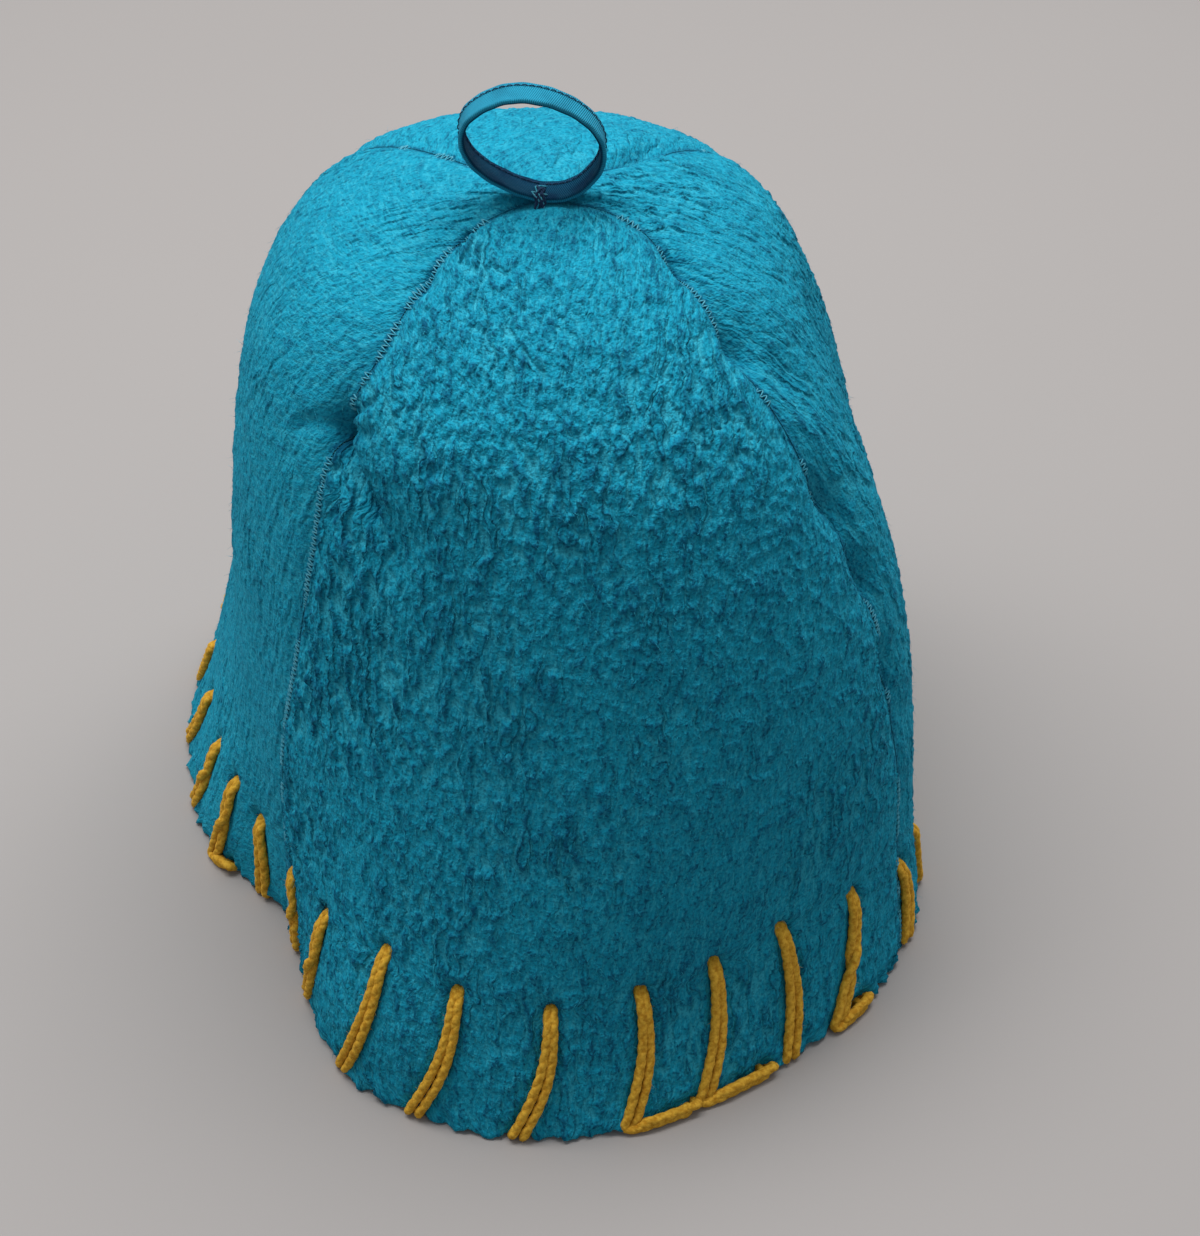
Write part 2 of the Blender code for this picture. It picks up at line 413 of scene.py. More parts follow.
def run_along(points: Array) -> Array:
    """How far along a line of points each one lies."""
    return np.concatenate(([0.0], np.cumsum(np.linalg.norm(np.diff(points, axis=0), axis=1))))


def levelled(normal: Array) -> Array:
    """Normals turned level."""
    return unit(normal * (1.0, 1.0, 0.0))


def step(low: float, high: float, values: Array) -> Array:
    """A smooth step from 0 at low to 1 at high."""
    share = np.clip((values - low) / (high - low), 0.0, 1.0)
    return share * share * (3.0 - 2.0 * share)


def spline(before: Array, start: Array, end: Array, after: Array, share: Array) -> Array:
    """A Catmull-Rom curve from start to end, at a share of the way."""
    return 0.5 * (
        2 * start
        + (end - before) * share
        + (2 * before - 5 * start + 4 * end - after) * share**2
        + (3 * start - before - 3 * end + after) * share**3
    )


def down_the_table(rows: Array, place: Array) -> Array:
    """The values of a table of rows at places between its rows."""
    padded = np.vstack((2 * rows[0] - rows[1], rows, 2 * rows[-1] - rows[-2]))
    first = np.clip(place.astype(int), 0, len(rows) - 2)
    return spline(*(padded[first + row] for row in range(4)), (place - first)[:, None])


def round_the_hat(values: Array, station: Array, whole_turn: float = 0.0) -> Array:
    """One value for each station, read between the stations of the closed ring."""
    first = np.floor(station).astype(int)
    four = []
    for index in range(-1, 3):
        laps, within = np.divmod(first + index, STATIONS)
        four.append(np.take_along_axis(values, within[:, None], 1)[:, 0] + whole_turn * laps)
    return spline(*four, station - first)


class Section(NamedTuple):
    """A level section: its height, then its radius at each station, as shares."""

    height: float
    front: float
    front_right: float
    right: float
    back_right: float
    back: float
    back_left: float
    left: float
    front_left: float


class SeamTurns(NamedTuple):
    """Where the four seams run at a section, in degrees round from the front."""

    front_right: float
    back_right: float
    back_left: float
    front_left: float


class Fold(NamedTuple):
    """A soft ridge or hollow along a line; the spread is in sections and the lift a share."""

    from_station: float
    from_section: float
    to_station: float
    to_section: float
    spread: float
    lift: float


SECTIONS = (
    Section(1.000, 0.010, 0.012, 0.012, 0.012, 0.010, 0.012, 0.012, 0.012),
    Section(0.996, 0.120, 0.170, 0.165, 0.190, 0.160, 0.200, 0.165, 0.165),
    Section(0.970, 0.265, 0.370, 0.355, 0.415, 0.340, 0.455, 0.370, 0.350),
    Section(0.915, 0.405, 0.550, 0.540, 0.610, 0.490, 0.645, 0.555, 0.525),
    Section(0.815, 0.530, 0.725, 0.655, 0.735, 0.600, 0.770, 0.685, 0.665),
    Section(0.665, 0.650, 0.885, 0.745, 0.840, 0.670, 0.850, 0.755, 0.760),
    Section(0.490, 0.750, 0.985, 0.810, 0.920, 0.730, 0.920, 0.795, 0.825),
    Section(0.320, 0.840, 1.040, 0.840, 0.960, 0.785, 0.980, 0.820, 0.870),
    Section(0.150, 0.930, 1.080, 0.870, 1.010, 0.835, 1.050, 0.895, 0.885),
    Section(0.000, 1.015, 1.140, 0.910, 1.050, 0.880, 1.120, 0.990, 0.890),
)
RIM = float(len(SECTIONS) - 1)

SEAM_TURNS = (
    SeamTurns(78.0, 133.0, 226.0, 298.0),
    SeamTurns(72.0, 133.0, 226.0, 302.0),
    SeamTurns(57.0, 133.0, 226.0, 311.0),
    SeamTurns(50.0, 133.0, 226.0, 315.5),
    SeamTurns(50.0, 133.0, 226.0, 312.5),
    SeamTurns(54.0, 133.0, 226.0, 313.5),
    SeamTurns(56.5, 133.0, 226.0, 311.5),
    SeamTurns(56.5, 133.0, 226.0, 309.0),
    SeamTurns(55.0, 133.0, 226.0, 309.0),
    SeamTurns(52.5, 133.0, 226.0, 309.0),
)

FOLDS = {
    "pucker on the front left seam": Fold(-1.02, 3.85, -1.01, 3.95, 0.28, -0.018),
    "fold running down from the pucker": Fold(-0.93, 4.00, -0.58, 4.60, 0.26, -0.022),
    "swell beside that fold": Fold(-0.80, 3.50, -0.45, 4.05, 0.45, 0.014),
    "ridge where the front turns down": Fold(-0.60, 3.85, 0.80, 4.05, 0.65, 0.014),
    "dip in the upper front right seam": Fold(1.00, 1.90, 1.04, 2.20, 0.30, -0.013),
    "dip in the right shoulder": Fold(1.06, 3.00, 1.20, 3.60, 0.35, -0.022),
    "dip in the middle of the front right seam": Fold(1.02, 4.60, 1.02, 5.30, 0.40, -0.022),
    "dip in the lower front right seam": Fold(1.00, 6.10, 1.00, 6.60, 0.40, -0.015),
    "dent at the top of the back right seam": Fold(3.05, 1.50, 3.05, 1.70, 0.35, -0.022),
    "swell of the left petal": Fold(-2.10, 2.80, -1.70, 4.20, 1.00, 0.012),
    "soft channel beside the left seam": Fold(-1.22, 6.20, -1.18, 8.00, 0.70, -0.014),
    "flare of the front petal at the left": Fold(-0.46, 8.60, -0.46, 9.60, 0.90, 0.075),
    "flare of the left petal": Fold(-1.50, 8.80, -1.50, 9.60, 0.95, 0.050),
    "flat of the rim at the right": Fold(0.40, 8.20, 0.40, 9.60, 1.10, -0.055),
    "soft wave in the back rim": Fold(4.00, 8.40, 4.00, 9.60, 1.00, 0.030),
}

# Sharper marks in the felt, with the same columns as the folds
MARKS = {
    "hole of the pucker": Fold(-1.00, 3.84, -1.00, 3.92, 0.12, -0.045),
    "crease from the pucker, level": Fold(-1.00, 3.90, -0.80, 3.80, 0.08, -0.016),
    "crease from the pucker, falling": Fold(-0.97, 3.98, -0.72, 4.42, 0.10, -0.034),
    "crease from the pucker, steep": Fold(-0.97, 4.02, -0.89, 4.55, 0.08, -0.020),
    "crease from the pucker, rising": Fold(-1.00, 3.82, -0.86, 3.50, 0.07, -0.013),
    "crease from the pucker into the left petal": Fold(-1.05, 3.92, -1.22, 4.10, 0.10, -0.016),
    "pit high on the front left seam": Fold(-1.00, 1.25, -0.97, 1.33, 0.15, -0.015),
    "pit lower on the front left seam": Fold(-1.00, 2.00, -0.96, 2.10, 0.15, -0.019),
    "pit high on the front right seam": Fold(1.00, 1.94, 0.97, 2.05, 0.15, -0.023),
    "pit on the right shoulder": Fold(1.00, 3.06, 1.04, 3.20, 0.18, -0.030),
    "pit in the middle of the right seam": Fold(1.00, 4.62, 1.03, 4.76, 0.18, -0.027),
    "pit lower on the right seam": Fold(1.00, 5.25, 1.02, 5.38, 0.18, -0.023),
    "pit low on the right seam": Fold(1.00, 6.10, 0.98, 6.25, 0.15, -0.019),
}


class HatShape:
    """The skin of the hat: a loft through level sections, dented and folded."""

    height = 0.216
    half_width = 0.116
    half_depth = 0.148
    seam_sink = 0.0012
    seam_sink_reach = 0.004
    sections_per_station = 3.3
    rim_level_share = 0.12
    normal_step = 0.02
    pole_reach = 0.08

    def __init__(self) -> None:
        """Finds the middle of the box round the hat, which is the frame's origin."""
        self.centre = np.zeros(3)
        station, place = np.meshgrid(np.linspace(0, STATIONS, 161), np.linspace(6, RIM, 31))
        points = self.skin(station.ravel(), place.ravel())
        self.centre[:2] = (points.min(0)[:2] + points.max(0)[:2]) / 2

    def smooth(self, station: Array, place: Array) -> Array:
        """Points on the skin before it is dented or folded."""
        rows = down_the_table(np.array(SECTIONS), place)
        radii = rows[:, 1:] * self.half_width
        radii[:, (0, 4)] *= self.half_depth / self.half_width
        turns = np.tile(np.arange(STATIONS) * math.tau / STATIONS, (len(place), 1))
        turns[:, 1::2] = np.radians(down_the_table(np.array(SEAM_TURNS), place))
        radius = round_the_hat(radii, station) * np.minimum(place / self.pole_reach, 1.0)
        turn = round_the_hat(turns, station, math.tau)
        level = rows[:, 0] * self.height
        points = np.stack((radius * np.sin(turn), -radius * np.cos(turn), level), 1)
        return points - self.centre

    def facing(self, surface: Any, station: Array, place: Array) -> tuple[Array, Array]:
        """The outward normals of a surface, and its run for one station."""
        nudge = self.normal_step
        along = surface(station + nudge, place) - surface(station - nudge, place)
        lower = surface(station, np.minimum(place + nudge, RIM))
        down = lower - surface(station, np.maximum(place - nudge, 0.0))
        level = np.minimum(place, 1.0)[:, None]
        normal = unit(np.cross(down, along)) * level + UP * (1.0 - level)
        return unit(normal), along / (2 * nudge)

    def fold_lift(self, folds: dict[str, Fold], station: Array, place: Array) -> Array:
        """How far the folds push the skin outwards."""
        lift = np.zeros(len(place))
        scale = np.array((self.sections_per_station, 1.0))
        for fold in folds.values():
            lap = np.round((station - fold.from_station) / STATIONS) * STATIONS
            away = (station - fold.from_station - lap, place - fold.from_section)
            away = np.stack(away, 1) * scale
            run = np.array((fold.to_station - fold.from_station, fold.to_section - fold.from_section))
            run = run * scale
            share = np.clip(away @ run / max(run @ run, 1e-9), 0.0, 1.0)
            distance = np.linalg.norm(away - share[:, None] * run, axis=1)
            lift += self.half_width * fold.lift * np.exp(-((distance / fold.spread) ** 2))
        return lift

    def skin(self, station: Array, place: Array) -> Array:
        """Points on the outer skin of the felt."""
        points = self.smooth(station, place)
        normal, along = self.facing(self.smooth, station, place)
        normal[:, 2] *= np.minimum(points[:, 2] / (self.rim_level_share * self.height), 1.0)
        away = np.abs(station - 2 * np.floor(station / 2) - 1) * np.linalg.norm(along, axis=1)
        lift = self.fold_lift(FOLDS | MARKS, station, place)
        lift -= self.seam_sink * np.exp(-((away / self.seam_sink_reach) ** 2))
        return points + unit(normal) * lift[:, None]

    def frame_at(self, station: Array, place: Array) -> tuple[Array, Array, Array]:
        """Points on the skin, their outward normals and the way round the hat there."""
        normal, along = self.facing(self.skin, station, place)
        return self.skin(station, place), normal, unit(along)


@dataclass(frozen=True)
class FeltGrain:
    """How the wool is matted: soft crumbs, pits between them that the felt's finish paints in shade,
    and curled ridges.
    """

    crumb: float = 0.0019
    crumb_stretch: float = 0.55
    patch: float = 0.045
    ridge: float = 0.0046
    ridge_stretch: float = 0.22
    drift: float = 0.0080
    drift_reach: float = 0.0040
    curl: float = 0.0022
    curl_reach: float = 0.0013

    def read(self, canvas: Canvas, cloth: Wire) -> tuple[Wire, Wire]:
        """Draws the grain in a tree, for a mesh or for a finish.

        Args:
            canvas: the tree.
            cloth: the place on the petal, measured on the flat felt.

        Returns:
            The height of the wool and the depth of its pits, both from 0 to 1.
        """
        place = cloth
        for size, reach in ((self.drift, self.drift_reach), (self.curl, self.curl_reach)):
            drift = canvas.noise(cloth, size, output=1)
            wander = canvas.vector("SUBTRACT", drift, (0.5, 0.5, 0.5))
            place = canvas.vector("ADD", place, canvas.vector("SCALE", wander, reach))
        long = canvas.vector("MULTIPLY", place, (1.0, self.ridge_stretch, 1.0))
        level = canvas.noise(long, self.ridge)
        ridged = canvas.noise(cloth, self.patch).ramp(0.38, 0.62, 0.35, 1.0)
        ridge = abs(level - 0.51).ramp(0.090, 0.0) * ridged
        behind = abs(level - 0.41).ramp(0.045, 0.0) * ridged
        short = canvas.vector("MULTIPLY", place, (1.0, self.crumb_stretch, 1.0))
        crumb = canvas.noise(short, self.crumb, 2.0)
        height = crumb.ramp(0.28, 0.68) * 0.52 + ridge * 0.60 - behind * 0.44
        pit = (crumb.ramp(0.50, 0.36) * (1.0 - ridge) * 0.85 + behind * 0.8).least(1.0)
        return height, pit


class Finish(Canvas):
    """A material, drawn up to its main shader."""

    def __init__(self, name: str) -> None:
        """Makes the material."""
        self.material = bpy.data.materials.new(name)
        self.material.use_nodes = True
        super().__init__(self.material.node_tree)

    def attribute(self, name: str, output: str = "Vector") -> Wire:
        """A named attribute of the mesh."""
        return self.node("ShaderNodeAttribute", {"attribute_name": name}, output=output)

    def where(self) -> Wire:
        """The place on the piece, in its own metres."""
        return self.node("ShaderNodeTexCoord", output="Object")

    def bump(self, height: Wire, distance: float) -> Wire:
        """The normal of a surface roughened by a height."""
        return self.node("ShaderNodeBump", {}, {"Height": height, "Distance": distance})

    def close(self, values: dict[str, Any]) -> bpy.types.Material:
        """Feeds the main shader and returns the material."""
        self.feed(self.tree.nodes["Principled BSDF"], values)
        return self.material


@dataclass(frozen=True)
class FeltFinish:
    """Thick felt: matted wool with a soft brushed nap."""

    name: str
    lay: Lay
    colour: Colour = (0.006, 0.270, 0.400, 1.0)
    shade: Colour = (0.001, 0.080, 0.155, 1.0)
    # pale: the colour of pale fibres, also used as a painted highlight on the tops of the wool's
    # ridges
    pale: Colour = (0.050, 0.440, 0.560, 1.0)
    grain: FeltGrain = FeltGrain()
    streak: float = 0.0009
    streak_stretch: float = 0.28
    crumb: float = 0.0009
    bump: float = 0.0009
    mottle: float = 0.035
    specular: float = 0.12
    sheen: float = 0.20
    sheen_roughness: float = 0.45
    sheen_tint: Colour = (0.03, 0.60, 0.85, 1.0)

    def material(self) -> bpy.types.Material:
        """The felt as a node material, read on the petal's own cloth."""
        canvas = Finish(self.name)
        cloth = canvas.attribute("cloth")
        matting, press, inset = canvas.split(canvas.attribute("marks"))
        wool, pit = self.grain.read(canvas, cloth)
        sockets = {"Vector": cloth, "Angle": math.radians(self.lay.value)}
        turned = canvas.node("ShaderNodeVectorRotate", {"rotation_type": "Z_AXIS"}, sockets)
        combed = canvas.vector("MULTIPLY", turned, (self.streak_stretch, 1.0, 1.0))
        streaks = canvas.noise(combed, self.streak, 2.0)
        slits = canvas.noise(combed, self.streak * 3.0, 1.0)
        crumbs = canvas.noise(cloth, self.crumb, 2.0)
        mottle = canvas.noise(cloth, self.mottle, 2.0)
        fleck = canvas.noise(combed, self.streak * 0.7, 1.0).ramp(0.60, 0.74)

        # Painted shade: the colour darkens in the wool's pits, slits and crumb hollows, in the dents
        # where the yarn presses and at its holes, and in a band along the seams.
        dark = pit * matting * 0.70 + slits.ramp(0.42, 0.30) * 0.30
        dark = dark + press * 0.55 + inset.ramp(0.0020, 0.0, 0.0, 0.7) * slits.ramp(0.25, 0.5)
        dark = dark + crumbs.ramp(0.52, 0.34) * 0.50
        colour = canvas.blend(mottle.ramp(0.30, 0.70, 0.0, 0.15), self.colour, self.shade)
        # Painted highlight: the tops of the wool's ridges are blended towards the pale colour; the
        # streaks and flecks below are pale fibres.
        colour = canvas.blend(wool.ramp(0.55, 1.0, 0.0, 0.5) * matting, colour, self.pale)
        colour = canvas.blend(streaks.ramp(0.48, 0.68, 0.0, 0.32), colour, self.pale)
        colour = canvas.blend(fleck * 0.35, colour, self.pale)
        colour = canvas.blend(dark.least(1.0), colour, self.shade)

        values = {
            "Base Color": colour,
            "Roughness": crumbs.ramp(0.2, 0.8, 1.0, 0.86),
            "Normal": canvas.bump(crumbs * 0.6 + streaks * 0.35 + wool * matting, self.bump),
            "Specular IOR Level": self.specular,
            "Sheen Weight": self.sheen,
            "Sheen Roughness": self.sheen_roughness,
            "Sheen Tint": self.sheen_tint,
        }
        return canvas.close(values)


@dataclass(frozen=True)
class WoolFinish:
    """Loose wool: the felt's fibres and the yarn, each strand a little lighter or darker."""

    name: str
    dark: Colour
    light: Colour
    grain: float = 0.0012
    bump: float = 0.0002
    specular: float = 0.2
    sheen: float = 0.3
    sheen_roughness: float = 0.4

    def material(self) -> bpy.types.Material:
        """The wool as a node material with a fibrous bump."""
        canvas = Finish(self.name)
        fine = canvas.noise(canvas.where(), self.grain, 3.0)
        tint = canvas.attribute("tint", "Fac")
        share = (tint * 0.7 + fine.ramp(0.30, 0.70) * 0.5).least(1.0)
        values = {
            "Base Color": canvas.blend(share, self.dark, self.light),
            "Roughness": fine.ramp(0.2, 0.8, 0.95, 0.75),
            "Normal": canvas.bump(fine, self.bump),
            "Specular IOR Level": self.specular,
            "Sheen Weight": self.sheen,
            "Sheen Roughness": self.sheen_roughness,
            "Sheen Tint": self.light,
        }
        return canvas.close(values)


@dataclass(frozen=True)
class TapeFinish:
    """Folded twill tape with a dull shine along its ribs."""

    name: str = "twill_tape"
    colour: Colour = (0.022, 0.290, 0.440, 1.0)
    shade: Colour = (0.001, 0.028, 0.070, 1.0)
    rib: float = 0.00055
    yarn: float = 0.0007
    soil: float = 0.009
    bump: float = 0.00022
    specular: float = 0.06

    def material(self) -> bpy.types.Material:
        """The tape as a node material, its ribs slanting across its own length."""
        canvas = Finish(self.name)
        weave = canvas.attribute("weave")
        along, across, inner = canvas.split(weave)
        lean = along + across * 0.35
        rib = (lean * (math.tau / self.rib)).turned("SINE") * 0.5 + 0.5
        yarns = canvas.noise(weave, self.yarn, 2.0)
        soil = canvas.noise(weave, self.soil, 1.0)
        # Darker between the ribs, with a random soil tone, and painted shade over the whole inner
        # face of the ring.
        shade = rib.ramp(0.6, 0.0, 0.0, 0.4) + soil.ramp(0.55, 0.3, 0.0, 0.2) + inner * 0.85
        values = {
            "Base Color": canvas.blend(shade.least(1.0), self.colour, self.shade),
            "Roughness": yarns.ramp(0.3, 0.7, 0.5, 0.7),
            "Normal": canvas.bump(rib + yarns * 0.4, self.bump),
            "Specular IOR Level": self.specular,
        }
        return canvas.close(values)


@dataclass(frozen=True)
class FloorFinish:
    """A plain pale table top."""

    name: str = "pale_floor"
    colour: Colour = (0.295, 0.273, 0.262, 1.0)
    mottle: float = 0.4
    roughness: float = 0.7

    def material(self) -> bpy.types.Material:
        """The floor's plain finish with a very faint mottle."""
        canvas = Finish(self.name)
        mottle = canvas.noise(canvas.where(), self.mottle, 2.0).ramp(0.3, 0.7, 0.0, 0.08)
        paler = tuple(min(part * 1.3, 1.0) for part in self.colour)
        colour = canvas.blend(mottle, self.colour, paler)
        return canvas.close({"Base Color": colour, "Roughness": self.roughness})


class Stitch(NamedTuple):
    """A whip stitch: where its hole is, where it crosses the rim, and its run along the rim."""

    hole_station: float
    hole_section: float
    rim_station: float
    edge_run: float = 0.0


# From the left silhouette round the front to the right one
STITCHES = (
    Stitch(-2.62, 8.05, -2.78),
    Stitch(-2.38, 8.15, -2.48),
    Stitch(-2.12, 8.20, -2.17),
    Stitch(-1.76, 8.08, -1.82),
    Stitch(-1.46, 8.03, -1.50, 0.10),
    Stitch(-1.24, 8.15, -1.18),
    Stitch(-0.92, 8.08, -0.88),
    Stitch(-0.64, 7.85, -0.70),
    Stitch(-0.41, 7.70, -0.47),
    Stitch(-0.22, 7.78, -0.29),
    Stitch(-0.01, 7.82, -0.08),
    Stitch(0.19, 7.75, 0.15, 0.14),
    Stitch(0.36, 7.70, 0.32, 0.16),
    Stitch(0.53, 7.67, 0.54),
    Stitch(0.75, 7.80, 0.68, 0.10),
    Stitch(1.02, 8.15, 1.03),
    Stitch(1.24, 8.25, 1.31),
)


@dataclass
class RimYarn:
    """Double mustard yarn, whipped over the rim all the way round."""

    shape: HatShape
    felt: float
    back_stitches: int = 12
    back_section: float = 8.0
    strand_radius: float = 0.00150
    ply_radius: float = 0.00124
    pitch: float = 0.0080
    segments_per_turn: int = 8
    sides: int = 7
    ride_height: float = 0.0006
    pair_gap: float = 0.00155
    pair_gap_at_hole: float = 0.0007
    crossing_chance: float = 0.25
    run_out: float = 0.0009
    outer_steps: int = 13
    inner_steps: int = 9
    mark_steps: int = 28
    run_steps: int = 12
    foot_section: float = RIM - 0.05
    inner_foot_section: float = RIM - 0.16
    edge_lift: float = 0.0008
    seed: int = 11

    def stitches(self) -> list[Stitch]:
        """The chosen stitches, then an even row round the back."""
        first, last = STITCHES[0], STITCHES[-1]
        span = first.rim_station + STATIONS - last.rim_station
        found = list(STITCHES)
        for index in range(1, self.back_stitches + 1):
            rim = last.rim_station + span * index / (self.back_stitches + 1)
            sway = 0.05 * math.sin(2.4 * index)
            rise = 0.12 * math.sin(1.7 * index)
            found.append(Stitch(rim + sway, self.back_section + rise, rim))
        return found

    def outer_line(self, stitch: Stitch, steps: int) -> tuple[Array, Array]:
        """The stations and sections that a stitch crosses on the outside."""
        share = np.linspace(0.0, 1.0, steps)
        bow = 0.02 * np.sin(math.pi * share)
        station = stitch.hole_station + (stitch.rim_station - stitch.hole_station) * share
        section = stitch.hole_section + (self.foot_section - stitch.hole_section) * share
        return station + bow, section

    def marks(self) -> tuple[Array, Array]:
        """Points along the outside of every stitch, and the holes."""
        lines, holes = [], []
        for stitch in self.stitches():
            points = self.shape.skin(*self.outer_line(stitch, self.mark_steps))
            lines.append(points)
            holes.append(points[0])
            if stitch.edge_run:
                run = np.linspace(0.0, stitch.edge_run, self.run_steps)
                lines.append(self.shape.skin(stitch.rim_station + run, np.full(len(run), RIM - 0.03)))
        return np.concatenate(lines), np.array(holes)

    def strand_path(self, side: int) -> Array:
        """The closed path of one of the two strands.

        Args:
            side: -1 or 1, for the strand on the left or right of the pair.

        Returns:
            One row for each point: out of each hole, down, under the rim and up inside.
        """
        rng = np.random.default_rng(self.seed)
        stitches = self.stitches()
        path = []
        for index, stitch in enumerate(stitches):
            after = stitches[(index + 1) % len(stitches)]
            crossed = rng.random() < self.crossing_chance
            lap = STATIONS if index + 1 == len(stitches) else 0
            station, section = self.outer_line(stitch, self.outer_steps)
            share = np.linspace(0.0, 1.0, self.outer_steps)
            swap = np.cos(math.pi * step(0.25, 0.8, share)) if crossed else np.ones(len(share))
            opening = self.pair_gap - self.pair_gap_at_hole
            apart = self.pair_gap_at_hole + opening * step(0.0, 0.8, share)
            under = (1.0 - np.abs(swap)) * self.strand_radius * side
            points, normal, along = self.shape.frame_at(station, section)
            sink = -self.felt * (1.0 - step(0.0, 0.12, share))
            lift = self.ride_height + sink + under
            outer = points + normal * lift[:, None] + along * (side * swap * apart)[:, None]
            outer[:, 2] = np.maximum(outer[:, 2], self.strand_radius)
            turn = self.rim_turn(stitch, side * swap[-1] * self.pair_gap)
            path += [outer, turn, self.inner_leg(stitch, after, lap, side)]
        return np.concatenate(path)

    def rim_turn(self, stitch: Stitch, apart: float) -> Array:
        """The way along the lower edge, where a stitch has one, and under it."""
        start = stitch.rim_station
        run = np.linspace(0.0, stitch.edge_run, 6)[1:] if stitch.edge_run else np.zeros(0)
        outward = np.concatenate((np.full(len(run), self.run_out), (-0.0012, -0.0034)))
        station = np.concatenate((start + run, np.full(2, start + stitch.edge_run)))
        points, normal, along = self.shape.frame_at(station, np.full(len(station), RIM))
        points = points + levelled(normal) * outward[:, None] + along * apart
        points[:, 2] = self.strand_radius
        points[: len(run), 2] += self.edge_lift + apart * 0.5
        return points

    def inner_leg(self, stitch: Stitch, after: Stitch, lap: int, side: int) -> Array:
        """The way up the inside of the felt to the next hole."""
        share = np.linspace(0.0, 1.0, self.inner_steps)
        start = stitch.rim_station + stitch.edge_run
        station = start + (after.hole_station + lap - start) * share
        low = self.inner_foot_section
        section = low + (after.hole_section + 0.02 - low) * share
        points, normal, along = self.shape.frame_at(station, section)
        depth = self.felt + self.strand_radius * 0.9
        return points - normal * depth + along * side * self.pair_gap_at_hole

    def recipe(self) -> Recipe:
        """Two plies wound round a path."""
        inputs = {"Ply radius": Kind.NUMBER, "Wind radius": Kind.NUMBER, "Pitch": Kind.NUMBER}
        recipe = Recipe("plied_yarn", inputs | {"Step": Kind.NUMBER, "Finish": Kind.FINISH})
        line = recipe.line("LENGTH", recipe.given("Step"), True)
        run = recipe.node("GeometryNodeSplineParameter", output="Length")
        normal = recipe.node("GeometryNodeInputNormal")
        tangent = recipe.node("GeometryNodeInputTangent")
        sideways = recipe.vector("CROSS_PRODUCT", tangent, normal)
        plies = []
        for phase in (0.0, math.pi):
            angle = run / recipe.given("Pitch") * math.tau + phase
            reach = recipe.given("Wind radius")
            first = recipe.vector("SCALE", normal, angle.turned("COSINE") * reach)
            second = recipe.vector("SCALE", sideways, angle.turned("SINE") * reach)
            wound = recipe.shift(line, recipe.vector("ADD", first, second))
            plies.append(recipe.tube(wound, recipe.given("Ply radius"), self.sides))
        recipe.close(plies)
        return recipe

    def build(self, finish: WoolFinish) -> bpy.types.Mesh:
        """Winds both strands and dresses them."""
        paths = [self.strand_path(side) for side in (-1, 1)]
        edges = []
        for number, path in enumerate(paths):
            index = np.arange(len(path))
            ends = np.stack((index, (index + 1) % len(path)), 1) + number * len(paths[0])
            edges += ends.tolist()
        lines = plain_mesh("yarn_lines", np.concatenate(paths), edges)
        values = {
            "Ply radius": self.ply_radius,
            "Wind radius": self.strand_radius - self.ply_radius,
            "Pitch": self.pitch,
            "Step": self.pitch / self.segments_per_turn,
            "Finish": finish.material(),
        }
        mesh = self.recipe().run(lines, "rim_yarn", values)
        place_piece("rim_yarn", mesh)
        return mesh


@dataclass(frozen=True)
class PetalCut:
    """One petal: its node, its two seams, how fine its mesh is and how it is worked."""

    node: str
    first: float
    last: float
    columns: int
    rows: int
    lay: Lay
    matting: float
    fibres: int


PETALS = (
    PetalCut("front_panel", -1.0, 1.0, 256, 296, Lay.DOWN, 1.0, 36000),
    PetalCut("right_panel", 1.0, 3.0, 170, 230, Lay.DOWN, 0.65, 22000),
    PetalCut("back_panel", 3.0, 5.0, 150, 200, Lay.SLANTING, 0.5, 10500),
    PetalCut("left_panel", 5.0, 7.0, 170, 230, Lay.AROUND, 0.45, 23000),
)


